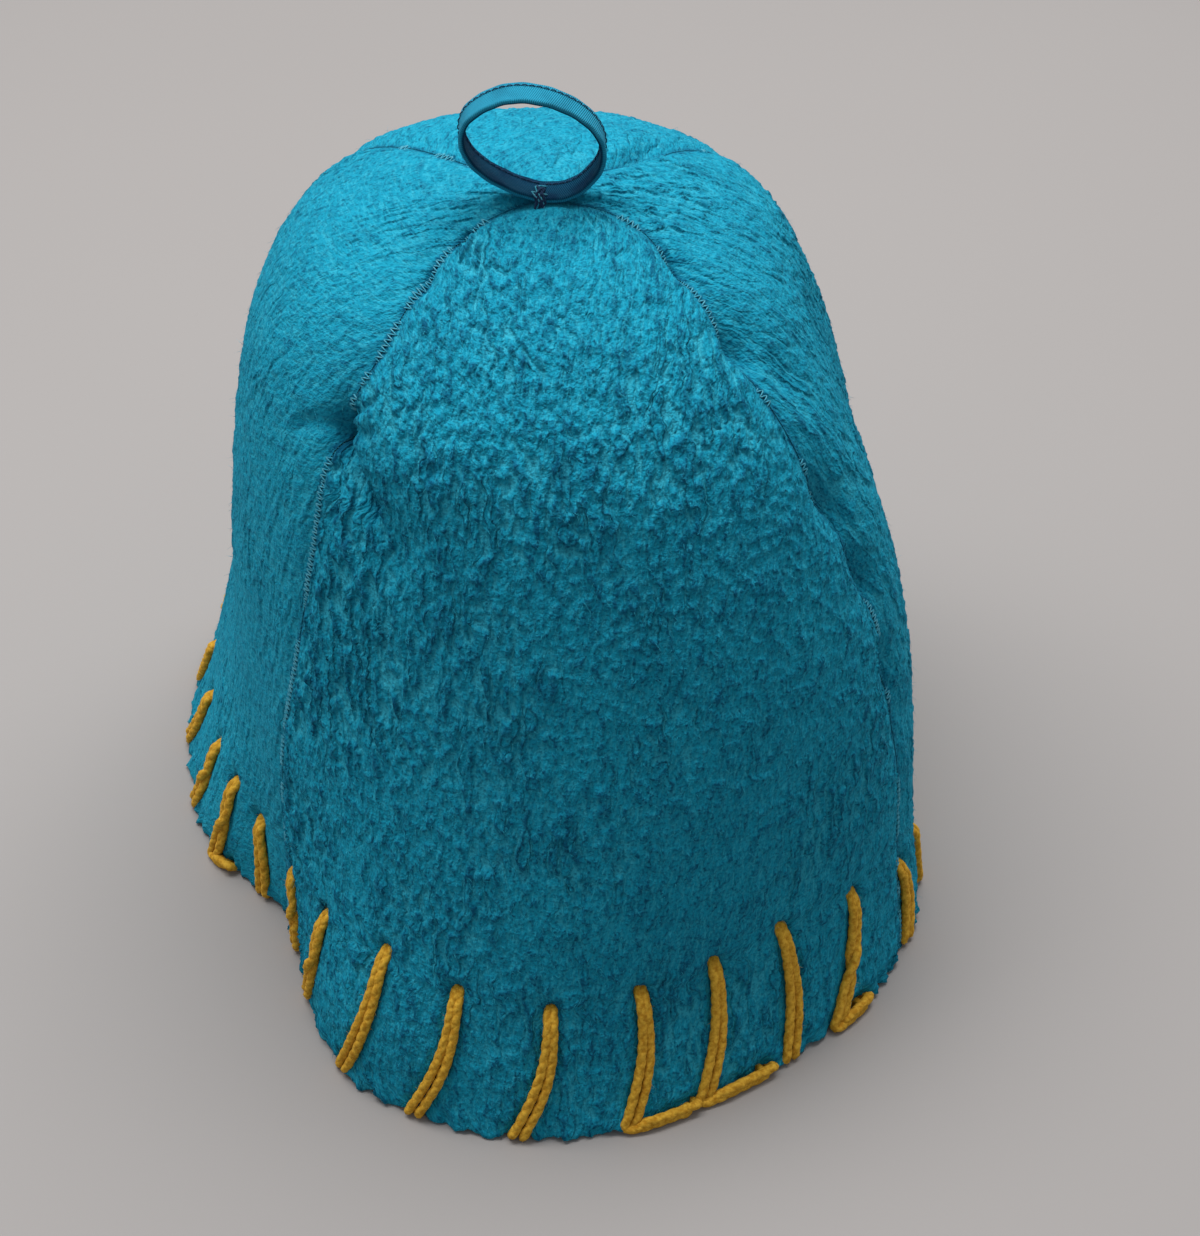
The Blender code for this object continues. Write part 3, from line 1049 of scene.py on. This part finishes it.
@dataclass
class FeltCrown:
    """The four petals, each a closed wall of matted felt."""

    shape: HatShape
    yarn: RimYarn
    thickness: float = 0.003
    half_gap: float = 0.00015
    lining_rows: int = 54
    lining_columns: int = 44
    edge_rows: int = 3
    rim_rise: float = 0.0006
    rim_ragged: float = 0.0020
    rim_tufts: float = 0.0015
    tufts_per_station: int = 44
    press_depth: float = 0.0013
    press_reach: float = 0.0030
    lowest_section: float = 6.9
    hole_depth: float = 0.0016
    hole_reach: float = 0.0026
    notch: float = 0.0014
    notch_height: float = 0.008
    lump_height: float = 0.0011
    pit_depth: float = 0.0003
    fade_reach: float = 0.0025
    lining_marks: tuple[float, float, float] = (0.2, 0.0, 0.01)
    seed: int = 5

    def rows_down(self, middle: float, count: int) -> Array:
        """Sections evenly spaced along the felt, from the pole to the rim."""
        fine = np.linspace(0.004, RIM, 400)
        run = run_along(self.shape.skin(np.full(400, middle), fine))
        return np.interp(np.linspace(0.0, run[-1], count + 1), run, fine)

    def grid(self, cut: PetalCut, rows: int, columns: int) -> tuple[Array, Array]:
        """The stations and sections of a petal's mesh, half a gap inside its seams."""
        section = np.repeat(self.rows_down((cut.first + cut.last) / 2, rows), columns + 1)
        station = np.tile(np.linspace(cut.first, cut.last, columns + 1), rows + 1)
        _, along = self.shape.facing(self.shape.smooth, station, section)
        length = np.linalg.norm(along, axis=1)
        inwards = np.sign((cut.first + cut.last) / 2 - station)
        at_seam = (station == cut.first) | (station == cut.last)
        station = station + at_seam * inwards * np.minimum(self.half_gap / length, 0.2)
        return station, section

    def press(self, points: Array, section: Array) -> tuple[Array, Array]:
        """How hard the yarn presses on each point, and how near a hole it is."""
        lines, holes = self.yarn.marks()
        on_line, at_hole = np.zeros(len(points)), np.zeros(len(points))
        for spots, reach, found in (
            (lines, self.press_reach, on_line),
            (holes, self.hole_reach, at_hole),
        ):
            tree = KDTree(len(spots))
            for number, spot in enumerate(spots):
                tree.insert(spot, number)
            tree.balance()
            for index in np.flatnonzero(section > self.lowest_section):
                found[index] = math.exp(-((tree.find(points[index])[2] / reach) ** 2))
        return on_line, at_hole

    def skin_sheet(self, cut: PetalCut) -> dict[str, Array]:
        """The outer sheet of a petal and what is known at each of its points."""
        station, section = self.grid(cut, cut.rows, cut.columns)
        points, normal, along = self.shape.frame_at(station, section)
        on_line, at_hole = self.press(points, section)
        points = points - normal * (on_line * self.press_depth + at_hole * self.hole_depth)[:, None]
        near_rim = np.clip(1.0 - points[:, 2] / self.notch_height, 0.0, 1.0)
        rng = np.random.default_rng(self.seed)
        tufts = np.linspace(-1.0, 8.0, 9 * self.tufts_per_station)
        ragged = np.interp(station, tufts, rng.uniform(0.0, 1.0, len(tufts)) ** 2)
        ragged *= self.rim_ragged
        out_and_in = np.interp(station, tufts, rng.uniform(-1.0, 1.0, len(tufts)))
        points = points + levelled(normal) * (near_rim * out_and_in * self.rim_tufts)[:, None]
        points[:, 2] += near_rim * (self.rim_rise + ragged + self.notch * on_line)

        net = points.reshape(cut.rows + 1, cut.columns + 1, 3)
        steps = np.linalg.norm(np.diff(net, axis=1), axis=2)
        round_run = np.concatenate((np.zeros((cut.rows + 1, 1)), np.cumsum(steps, 1)), 1)
        middle = cut.columns // 2
        down_run = run_along(net[:, middle])
        inset = np.minimum(round_run, round_run[:, -1:] - round_run)
        aside = round_run - round_run[:, middle : middle + 1]
        fallen = np.broadcast_to(down_run[:, None], round_run.shape)
        own = np.full(round_run.shape, cut.first)
        cloth = np.stack((aside, fallen, own), -1).reshape(-1, 3)
        lay = math.radians(cut.lay.value)
        falling = unit(np.cross(along, normal))
        comb = along * math.cos(lay) + falling * math.sin(lay)
        crown = 1.0 - step(1.6, 3.0, section)
        comb = comb * (1.0 - crown)[:, None] + ACROSS * crown[:, None]
        left = np.exp(-(((station + 0.55) / 0.55) ** 2)) if cut.first < 0 else 0.3
        matting = cut.matting * step(0.1, 0.8, section) * (0.92 + 0.13 * left)
        return {
            "points": points,
            "normal": normal,
            "cloth": cloth,
            "comb": unit(comb),
            # The marks: matting, where the yarn presses and at its holes, and the distance to the
            # seams; the felt's finish paints shade from the last two.
            "marks": np.stack((matting, at_hole + on_line * 0.35, inset.ravel()), 1),
            "fade": step(0.0, self.fade_reach, inset.ravel()) * (1.0 - 0.7 * on_line),
        }

    def flat_size(self, cut: PetalCut) -> tuple[float, float, float]:
        """The width, length and area that a petal was cut to, before it was sewn."""
        rows, columns = self.lining_rows, self.lining_columns
        station, section = self.grid(cut, rows, columns)
        net = self.shape.skin(station, section).reshape(rows + 1, columns + 1, 3)
        across, down = np.diff(net, axis=1), np.diff(net, axis=0)
        width = np.linalg.norm(across, axis=2).sum(1).max()
        length = np.linalg.norm(down[:, columns // 2], axis=1).sum()
        area = np.linalg.norm(np.cross(across[:-1], down[:, :-1]), axis=2).sum()
        LOG.info("%s: flat %.3f x %.3f, %.4f square metres", cut.node, width, length, area)
        return float(width), float(length), float(area)

    def wall(self, cut: PetalCut) -> bpy.types.Mesh:
        """The closed wall of a petal: skin, cut edges and lining."""
        sheet = self.skin_sheet(cut)
        wide = cut.columns + 1
        rim = slice(len(sheet["points"]) - wide, len(sheet["points"]))
        level = levelled(sheet["normal"][rim])
        edges = []
        for angle in np.linspace(0.0, math.pi, self.edge_rows + 2)[1:-1]:
            inward = self.thickness / 2 * (1.0 - math.cos(angle))
            drop = self.thickness * 0.22 * math.sin(angle)
            edges.append(sheet["points"][rim] - level * inward - UP * drop)
        station, section = self.grid(cut, self.lining_rows, self.lining_columns)
        inner, normal, _ = self.shape.frame_at(station, section)
        at_rim = (section == section[-1])[:, None]
        inner = inner - np.where(at_rim, levelled(normal), normal) * self.thickness
        inner[:, 2] += np.clip(1.0 - inner[:, 2] / self.notch_height, 0, 1) * self.rim_rise * 1.4

        outer = np.concatenate([sheet["points"], *edges])
        extra = len(edges) * wide + len(inner)
        outer_rows, inner_rows = cut.rows + 1 + len(edges), self.lining_rows + 1
        index = np.arange(len(outer)).reshape(outer_rows, wide)
        behind = len(outer) + np.arange(len(inner)).reshape(inner_rows, self.lining_columns + 1)
        faces = quads(index)
        faces += [quad[::-1] for quad in quads(behind)]
        faces += [face[::-1] for face in zip_edges(index[-1], behind[-1])]
        faces += zip_edges(index[0], behind[0])
        faces += zip_edges(index[: cut.rows + 1, -1], behind[:, -1])
        faces += [f[::-1] for f in zip_edges(index[: cut.rows + 1, 0], behind[:, 0])]
        for column, turned in ((0, True), (-1, False)):
            rim_corner = [int(v) for v in index[cut.rows :, column]] + [int(behind[-1, column])]
            faces.append(rim_corner[::-1] if turned else rim_corner)
        edge_cloth = np.tile(sheet["cloth"][rim], (len(edges), 1))
        tails = {
            "cloth": np.concatenate((edge_cloth, inner)),
            "comb": np.repeat(sheet["comb"][-1:], extra, 0),
            "marks": np.tile(self.lining_marks, (extra, 1)),
            "fade": np.zeros(extra),
        }
        attributes = {label: np.concatenate((sheet[label], tails[label])) for label in tails}
        points = np.concatenate((outer, inner))
        return plain_mesh(cut.node, points, faces, attributes)

    def relief(self) -> Recipe:
        """Raises the crumbs and ridges of the wool and sinks the pits between them."""
        inputs = {"Lump height": Kind.NUMBER, "Pit depth": Kind.NUMBER}
        recipe = Recipe("felt_relief", inputs | {"Finish": Kind.FINISH})
        cloth = recipe.attribute("cloth")
        matting = recipe.split(recipe.attribute("marks"))[0]
        wool, pit = FeltGrain().read(recipe, cloth)
        crumbs = recipe.noise(cloth, 0.0028, 1.0) - 0.5
        swell = recipe.noise(cloth, 0.016, 1.0) - 0.5
        height = (wool - 0.5) * matting * recipe.given("Lump height")
        height = height - pit * matting * recipe.given("Pit depth")
        height = height + (crumbs * 0.5 + swell * 0.6) * recipe.given("Lump height")
        height = height * recipe.attribute("fade", "FLOAT")
        normal = recipe.node("GeometryNodeInputNormal")
        recipe.close([recipe.shift(recipe.start, recipe.vector("SCALE", normal, height))])
        return recipe

    def build(self) -> dict[str, bpy.types.Mesh]:
        """Makes the four petals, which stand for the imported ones."""
        relief = self.relief()
        meshes = {}
        for cut in PETALS:
            values = {
                "Lump height": self.lump_height,
                "Pit depth": self.pit_depth,
                "Finish": FeltFinish(f"{cut.node}_felt", cut.lay).material(),
            }
            meshes[cut.node] = relief.run(self.wall(cut), f"felt_{cut.node}", values)
            petal = place_piece(f"felt_{cut.node}", meshes[cut.node])
            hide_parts(cut.node)
            width, length, area = self.flat_size(cut)
        return meshes


@dataclass
class Nap:
    """The fibres that stand out of the felt, combed along its lay."""

    length: float = 0.0027
    slimness: float = 0.019
    stand: float = 0.60
    scatter: float = 1.0
    shortest: float = 0.45
    longest: float = 1.2
    yarn_length: float = 0.0018
    yarn_stand: float = 0.8
    yarn_scatter: float = 0.9
    yarn_fibres: int = 6000
    seed: int = 3

    def recipe(self) -> Recipe:
        """Thin fibres scattered over a surface."""
        inputs = {label: Kind.NUMBER for label in ("Density", "Length", "Stand", "Scatter")}
        recipe = Recipe("nap", inputs | {"Seed": Kind.COUNT, "Finish": Kind.FINISH})
        seed = recipe.given("Seed")
        sockets = {"Mesh": recipe.start, "Density": recipe.given("Density"), "Seed": seed}
        points = recipe.node("GeometryNodeDistributePointsOnFaces", {}, sockets)
        standing = recipe.vector("SCALE", points.output("Normal"), recipe.given("Stand"))
        stray = recipe.random((-1.0,) * 3, (1.0,) * 3, seed, "FLOAT_VECTOR")
        stray = recipe.vector("SCALE", stray, recipe.given("Scatter"))
        way = recipe.vector("ADD", recipe.attribute("comb"), standing)
        way = recipe.vector("ADD", way, stray)
        turn = recipe.node("FunctionNodeAlignRotationToVector", {"axis": "Z"}, {"Vector": way})
        sockets = {"Vertices": 3, "Radius Top": 0.0, "Radius Bottom": self.slimness, "Depth": 1.0}
        cone = recipe.node("GeometryNodeMeshCone", {"fill_type": "NGON"}, sockets)
        size = recipe.random(self.shortest, self.longest, seed + 1) * recipe.given("Length")
        sockets = {"Points": points, "Instance": cone, "Rotation": turn, "Scale": size}
        fibres = recipe.node("GeometryNodeInstanceOnPoints", {}, sockets)
        settings = {"data_type": "FLOAT", "domain": "INSTANCE"}
        tint = recipe.random(0.0, 1.0, seed + 2)
        sockets = {"Geometry": fibres, "Name": "tint", "Value": tint}
        recipe.close([recipe.node("GeometryNodeStoreNamedAttribute", settings, sockets)])
        return recipe

    def build(self, petals: dict[str, bpy.types.Mesh], yarn: bpy.types.Mesh) -> None:
        """Covers the petals, and more thinly the yarn."""
        recipe = self.recipe()
        wool = WoolFinish("felt_fibre", (0.006, 0.250, 0.380, 1.0), (0.040, 0.420, 0.540, 1.0))
        finish = wool.material()
        values = {"Length": self.length, "Stand": self.stand, "Scatter": self.scatter}
        for number, cut in enumerate(PETALS):
            mesh = outer_part(petals[cut.node], (cut.rows + 1) * (cut.columns + 1))
            area = sum(face.area for face in mesh.polygons)
            more = {"Density": cut.fibres / area, "Seed": self.seed + number, "Finish": finish}
            name = f"nap_{cut.node}"
            place_piece(name, recipe.run(mesh, name, values | more))
        wool = WoolFinish("yarn_fibre", (0.55, 0.29, 0.03, 1.0), (0.75, 0.46, 0.09, 1.0))
        area = sum(face.area for face in yarn.polygons)
        values = {
            "Density": self.yarn_fibres / area,
            "Length": self.yarn_length,
            "Stand": self.yarn_stand,
            "Scatter": self.yarn_scatter,
            "Seed": self.seed,
            "Finish": wool.material(),
        }
        place_piece("yarn_fuzz", recipe.run(yarn, "yarn_fuzz", values))


def outer_part(mesh: bpy.types.Mesh, count: int) -> bpy.types.Mesh:
    """A copy of the faces that lie wholly within the first count vertices."""
    points = np.empty(len(mesh.vertices) * 3, np.float32)
    mesh.vertices.foreach_get("co", points)
    faces = [list(face.vertices) for face in mesh.polygons if max(face.vertices) < count]
    comb = np.empty(len(mesh.vertices) * 3, np.float32)
    mesh.attributes["comb"].data.foreach_get("vector", comb)
    layers = {"comb": comb.reshape(-1, 3)[:count]}
    return plain_mesh("nap_ground", points.reshape(-1, 3)[:count], faces, layers)


@dataclass
class SeamThread:
    """Pale thread sewn in a zigzag over each seam."""

    shape: HatShape
    pitch: float = 0.0017
    half_width: float = 0.0016
    arch: float = 1.6
    radius: float = 0.00022
    sides: int = 5
    segments_per_stitch: int = 6
    top_section: float = 0.9
    rim_clearance: float = 0.08
    points_per_seam: int = 240
    showing: tuple[float, ...] = (0.45, 0.2, 0.2, 0.65)
    sink: float = 0.0007
    spots: int = 60
    seed: int = 23

    def recipe(self) -> Recipe:
        """A thread that swings from side to side of a path."""
        labels = ("Pitch", "Half width", "Radius", "Step")
        inputs = {label: Kind.NUMBER for label in labels}
        recipe = Recipe("zigzag", inputs | {"Finish": Kind.FINISH})
        line = recipe.line("LENGTH", recipe.given("Step"), False)
        run = recipe.node("GeometryNodeSplineParameter", output="Length")
        phase = run / recipe.given("Pitch")
        swing = abs(phase.turned("FRACT") - 0.5) * 4.0 - 1.0
        reach = swing * recipe.given("Half width")
        aside = recipe.vector("SCALE", recipe.attribute("across"), reach)
        arch = (1.0 - swing * swing) * recipe.given("Radius") * self.arch
        rise = recipe.vector("SCALE", recipe.attribute("out"), arch)
        sewn = recipe.shift(line, recipe.vector("ADD", aside, rise))
        recipe.close([recipe.tube(sewn, recipe.given("Radius"), self.sides)])
        return recipe

    def build(self, finish: WoolFinish) -> None:
        """Sews the four seams."""
        points, across, out, edges = [], [], [], []
        count = self.points_per_seam
        section = np.linspace(self.top_section, RIM - self.rim_clearance, count)
        for number, showing in enumerate(self.showing):
            spots, normal, along = self.shape.frame_at(np.full(count, 1.0 + 2 * number), section)
            index = count * number + np.arange(count - 1)
            edges += np.stack((index, index + 1), 1).tolist()
            shares = np.random.default_rng(self.seed + number).uniform(0.0, 1.0, self.spots)
            share = np.interp(np.linspace(0, 1, count), np.linspace(0, 1, self.spots), shares)
            sunk = step(showing - 0.1, showing + 0.1, share)
            points.append(spots - normal * (self.sink * sunk)[:, None])
            across.append(along)
            out.append(normal)
        layers = {"across": np.concatenate(across), "out": np.concatenate(out)}
        lines = plain_mesh("seam_lines", np.concatenate(points), edges, layers)
        values = {
            "Pitch": self.pitch,
            "Half width": self.half_width,
            "Radius": self.radius,
            "Step": self.pitch / self.segments_per_stitch,
            "Finish": finish.material(),
        }
        place_piece("seam_thread", self.recipe().run(lines, "seam_thread", values))


class LoopPoint(NamedTuple):
    """A point of the tape's middle line, as shares of the loop's width and height."""

    across: float
    up: float


LOOP_LINE = (
    LoopPoint(0.03, 0.03),
    LoopPoint(0.25, 0.08),
    LoopPoint(0.42, 0.30),
    LoopPoint(0.44, 0.55),
    LoopPoint(0.32, 0.77),
    LoopPoint(0.10, 0.93),
    LoopPoint(-0.15, 0.99),
    LoopPoint(-0.36, 0.93),
    LoopPoint(-0.53, 0.77),
    LoopPoint(-0.56, 0.55),
    LoopPoint(-0.45, 0.32),
    LoopPoint(-0.22, 0.13),
)


@dataclass
class HangingLoop:
    """A ring of folded twill tape, sewn to the pole of the crown."""

    width: float = 0.037
    height: float = 0.032
    tape_width: float = 0.009
    tape_thickness: float = 0.0016
    lip: float = 0.00022
    steps: int = 200
    side_steps: int = 9
    wave: float = 0.00012
    waves: int = 17
    stitch_inset: float = 0.0018
    stitch_pitch: float = 0.0019
    stitch_points: int = 7
    thread_radius: float = 0.00016
    thread_sides: int = 6
    tack_share: float = 0.57

    def middle(self, count: int) -> tuple[Array, Array]:
        """Points of the tape's middle line in the upright plane, and its outward normals."""
        rows = np.array(LOOP_LINE) * (self.width, self.height)
        place = len(rows) * np.arange(count) / count
        first = place.astype(int)
        four = [rows[(first + index) % len(rows)] for index in (-1, 0, 1, 2)]
        line = spline(*four, (place - first)[:, None])
        run = unit(np.roll(line, -1, 0) - np.roll(line, 1, 0))
        return line, np.stack((run[:, 1], -run[:, 0]), 1)

    def at(self, line: Array, depth: Array) -> Array:
        """Points of the loop's plane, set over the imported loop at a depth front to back."""
        low, high = (np.array(corner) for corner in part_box("hanging_loop"))
        flat, outward = self.middle(400)
        edge = flat + outward * self.tape_thickness / 2
        start = np.array((low[0] - edge[:, 0].min(), low[2] - edge[:, 1].min()))
        placed = line + start
        middle = (low[1] + high[1]) / 2
        return np.stack((placed[:, 0], middle + depth, placed[:, 1]), 1)

    def profile(self) -> Array:
        """The tape's section: flat faces with a soft lip at each folded edge."""
        half, thin = self.tape_width / 2, self.tape_thickness / 2
        face = np.linspace(-1.0, 1.0, self.side_steps)
        lip = thin + self.lip * np.exp(-(((1.0 - np.abs(face)) / 0.22) ** 2)) - self.lip
        outer = np.stack((face * (half - thin * 0.6), lip), 1)
        turn = np.radians((45.0, 0.0, -45.0))
        cap = np.stack((half - thin * 0.6 + thin * 0.6 * np.cos(turn), thin * 0.9 * np.sin(turn)), 1)
        inner = outer[::-1] * (1.0, -1.0)
        return np.concatenate((outer, cap, inner, cap[::-1] * (-1.0, 1.0)))

    def ring(self) -> bpy.types.Mesh:
        """The tape swept round its line."""
        line, outward = self.middle(self.steps)
        profile = self.profile()
        runs = np.linalg.norm(np.roll(line, -1, 0) - line, axis=1)
        along = np.concatenate(([0.0], np.cumsum(runs)))
        wave = self.wave * np.sin(np.arange(self.steps) * math.tau * self.waves / self.steps)
        points, weave = [], []
        wide = len(profile)
        for index in range(self.steps + 1):
            at = index % self.steps
            spots = line[at] + outward[at] * profile[:, 1:]
            points.append(self.at(spots, profile[:, 0] + wave[at]))
            # The third part marks the tape's inner face, which its finish paints in shade.
            flat = (np.full(wide, along[index]), profile[:, 0], (profile[:, 1] < 0) * 1.0)
            weave.append(np.stack(flat, 1))
        index = np.arange((self.steps + 1) * wide).reshape(self.steps + 1, wide)
        faces = quads(np.concatenate((index, index[:, :1]), 1))
        layers = {"weave": np.concatenate(weave)}
        return plain_mesh("tape_loop", np.concatenate(points), faces, layers)

    def threads(self) -> Recipe:
        """Thread stitches: short runs of thread, each along an edge of the mesh."""
        recipe = Recipe("short_stitches", {"Radius": Kind.NUMBER, "Finish": Kind.FINISH})
        line = recipe.line("COUNT", self.stitch_points, True)
        recipe.close([recipe.tube(line, recipe.given("Radius"), self.thread_sides)])
        return recipe

    def stitch_line(self) -> list[Array]:
        """Short stitches on both faces of the tape, near its back edge."""
        fine, outward = self.middle(1200)
        run = np.cumsum(np.linalg.norm(np.roll(fine, -1, 0) - fine, axis=1))
        found = []
        depth = self.tape_width / 2 - self.stitch_inset
        for number in range(int(run[-1] / self.stitch_pitch)):
            side = 1 if number % 2 else -1
            share = np.linspace(0.06, 0.94, 5)
            at = np.searchsorted(run, (number + share) * self.stitch_pitch).clip(0, 1199)
            bulge = np.array((-0.0002, 0.0001, 0.00016, 0.0001, -0.0002))
            lift = side * (self.tape_thickness / 2 + bulge)
            for face in (lift, -lift):
                spots = fine[at] + outward[at] * face[:, None]
                found.append(self.at(spots, np.full(5, depth)))
        return found

    def tacks(self, count: int, spread: float, seed: int) -> list[Array]:
        """Loose stitches that hold the foot of the tape to the crown.

        Args:
            count: how many stitches there are.
            spread: how far they stray to each side.
            seed: the seed of their tangle.

        Returns:
            Five points for each stitch, from inside the ring to the felt in front.
        """
        low, high = (np.array(corner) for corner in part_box("hanging_loop"))
        rng = np.random.default_rng(seed)
        foot = low[0] + self.width * self.tack_share
        top = low[2] + self.tape_thickness
        depth = high[1] - low[1]
        found = []
        for _ in range(count):
            aside = foot + rng.uniform(-spread, spread, 5)
            back, rise = rng.uniform(0.2, 0.7), rng.uniform(0.0004, 0.0022)
            far = low[1] + np.array((depth * back, depth * back * 0.5, -0.0002, -0.0009, -0.0021))
            high_up = (top + 0.0001, top + rise, top + rise * 0.3, low[2] - 0.0001, low[2] - 0.0014)
            found.append(np.stack((aside, far, high_up), 1))
        return found

    def build(self, tape: TapeFinish, pale: WoolFinish, navy: WoolFinish) -> None:
        """Makes the ring, its stitch line and its tacks."""
        ring = self.ring()
        ring.materials.append(tape.material())
        piece = place_piece("tape_loop", ring)
        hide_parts("hanging_loop")
        recipe = self.threads()
        runs = (
            ("loop_stitch_line", self.stitch_line(), navy, self.thread_radius),
            ("loop_tacks", self.tacks(9, 0.0017, 4), navy, self.thread_radius * 1.5),
            ("loose_thread_end", self.tacks(2, 0.0026, 9), pale, self.thread_radius * 1.3),
        )
        for name, lines, finish, radius in runs:
            edges = []
            for number in range(len(lines)):
                edges += [[5 * number + spot, 5 * number + spot + 1] for spot in range(4)]
            mesh = plain_mesh(name, np.concatenate(lines), edges)
            values = {"Radius": radius, "Finish": finish.material()}
            place_piece(name, recipe.run(mesh, name, values))


class Studio(NamedTuple):
    """The camera, the pale floor and soft light from above."""

    shape: HatShape
    distance: float = 0.90
    look_down: float = math.radians(45.0)
    aim_right: float = 0.0157
    aim_height: float = 0.0630
    lens: float = 81.76
    sensor: float = 36.0
    floor_reach: float = 3.0
    lamp_place: Vector = Vector((-0.1, 0.36, 1.30))
    lamp_aim: Vector = Vector((0.0, 0.0, 0.12))
    lamp_size: tuple[float, float] = (1.8, 0.7)
    lamp_power: float = 28.5
    sky: Colour = (0.9, 0.95, 1.0, 1.0)
    sky_strength: float = 0.42

    def camera(self) -> None:
        """Puts the camera in front of the hat, looking down at it."""
        pole = Vector((-self.shape.centre[0], -self.shape.centre[1], 0.0))
        back, high = math.cos(self.look_down), math.sin(self.look_down)
        place = pole + self.distance * Vector((0.0, -back, high))
        aim = pole + Vector((self.aim_right, 0.0, self.aim_height))
        lens = bpy.data.cameras.new("camera")
        lens.lens = self.lens
        lens.sensor_width = self.sensor
        bpy.context.scene.camera = self.pointed("camera", lens, place, aim)

    def pointed(self, name: str, data: bpy.types.ID, place: Vector, aim: Vector) -> bpy.types.Object:
        """A camera or a light at a place, turned to face a point."""
        made = new_object(name, data)
        made.location = place
        made.rotation_euler = (aim - place).to_track_quat("-Z", "Y").to_euler()
        return made

    def floor(self) -> None:
        """Lays the floor that the hat stands on."""
        corners = np.array(((-1, -1, 0), (1, -1, 0), (1, 1, 0), (-1, 1, 0))) * self.floor_reach
        mesh = plain_mesh("floor", corners, [[0, 1, 2, 3]])
        mesh.materials.append(FloorFinish().material())
        new_object("floor", mesh)

    def lamp(self) -> None:
        """Hangs one wide soft light overhead."""
        light = bpy.data.lights.new("overhead", "AREA")
        light.shape = "RECTANGLE"
        light.size, light.size_y = self.lamp_size
        light.energy = self.lamp_power
        self.pointed("overhead", light, self.lamp_place, self.lamp_aim)

    def build(self) -> None:
        """Sets up the whole studio."""
        self.camera()
        self.floor()
        self.lamp()
        world = bpy.data.worlds.new("studio")
        world.use_nodes = True
        sky = world.node_tree.nodes["Background"]
        sky.inputs["Color"].default_value = self.sky
        sky.inputs["Strength"].default_value = self.sky_strength
        bpy.context.scene.world = world
        bpy.context.scene.view_settings.view_transform = "Standard"


def main() -> None:
    """Builds the hat and its studio, and reports each piece."""
    logging.basicConfig(level=logging.INFO, format="%(name)s %(message)s")
    shape = HatShape()
    Studio(shape).build()
    yarn = RimYarn(shape, felt=FeltCrown.thickness)
    petals = FeltCrown(shape, yarn).build()
    mustard = WoolFinish("mustard_yarn", (0.45, 0.21, 0.012, 1.0), (1.0, 0.62, 0.07, 1.0))
    whipped = yarn.build(mustard)
    Nap().build(petals, whipped)
    pale = WoolFinish("pale_thread", (0.01, 0.22, 0.32, 1.0), (0.16, 0.46, 0.56, 1.0))
    navy = WoolFinish("navy_thread", (0.004, 0.018, 0.050, 1.0), (0.02, 0.06, 0.13, 1.0))
    SeamThread(shape).build(pale)
    HangingLoop().build(TapeFinish(), pale, navy)


if __name__ == "__main__":
    main()
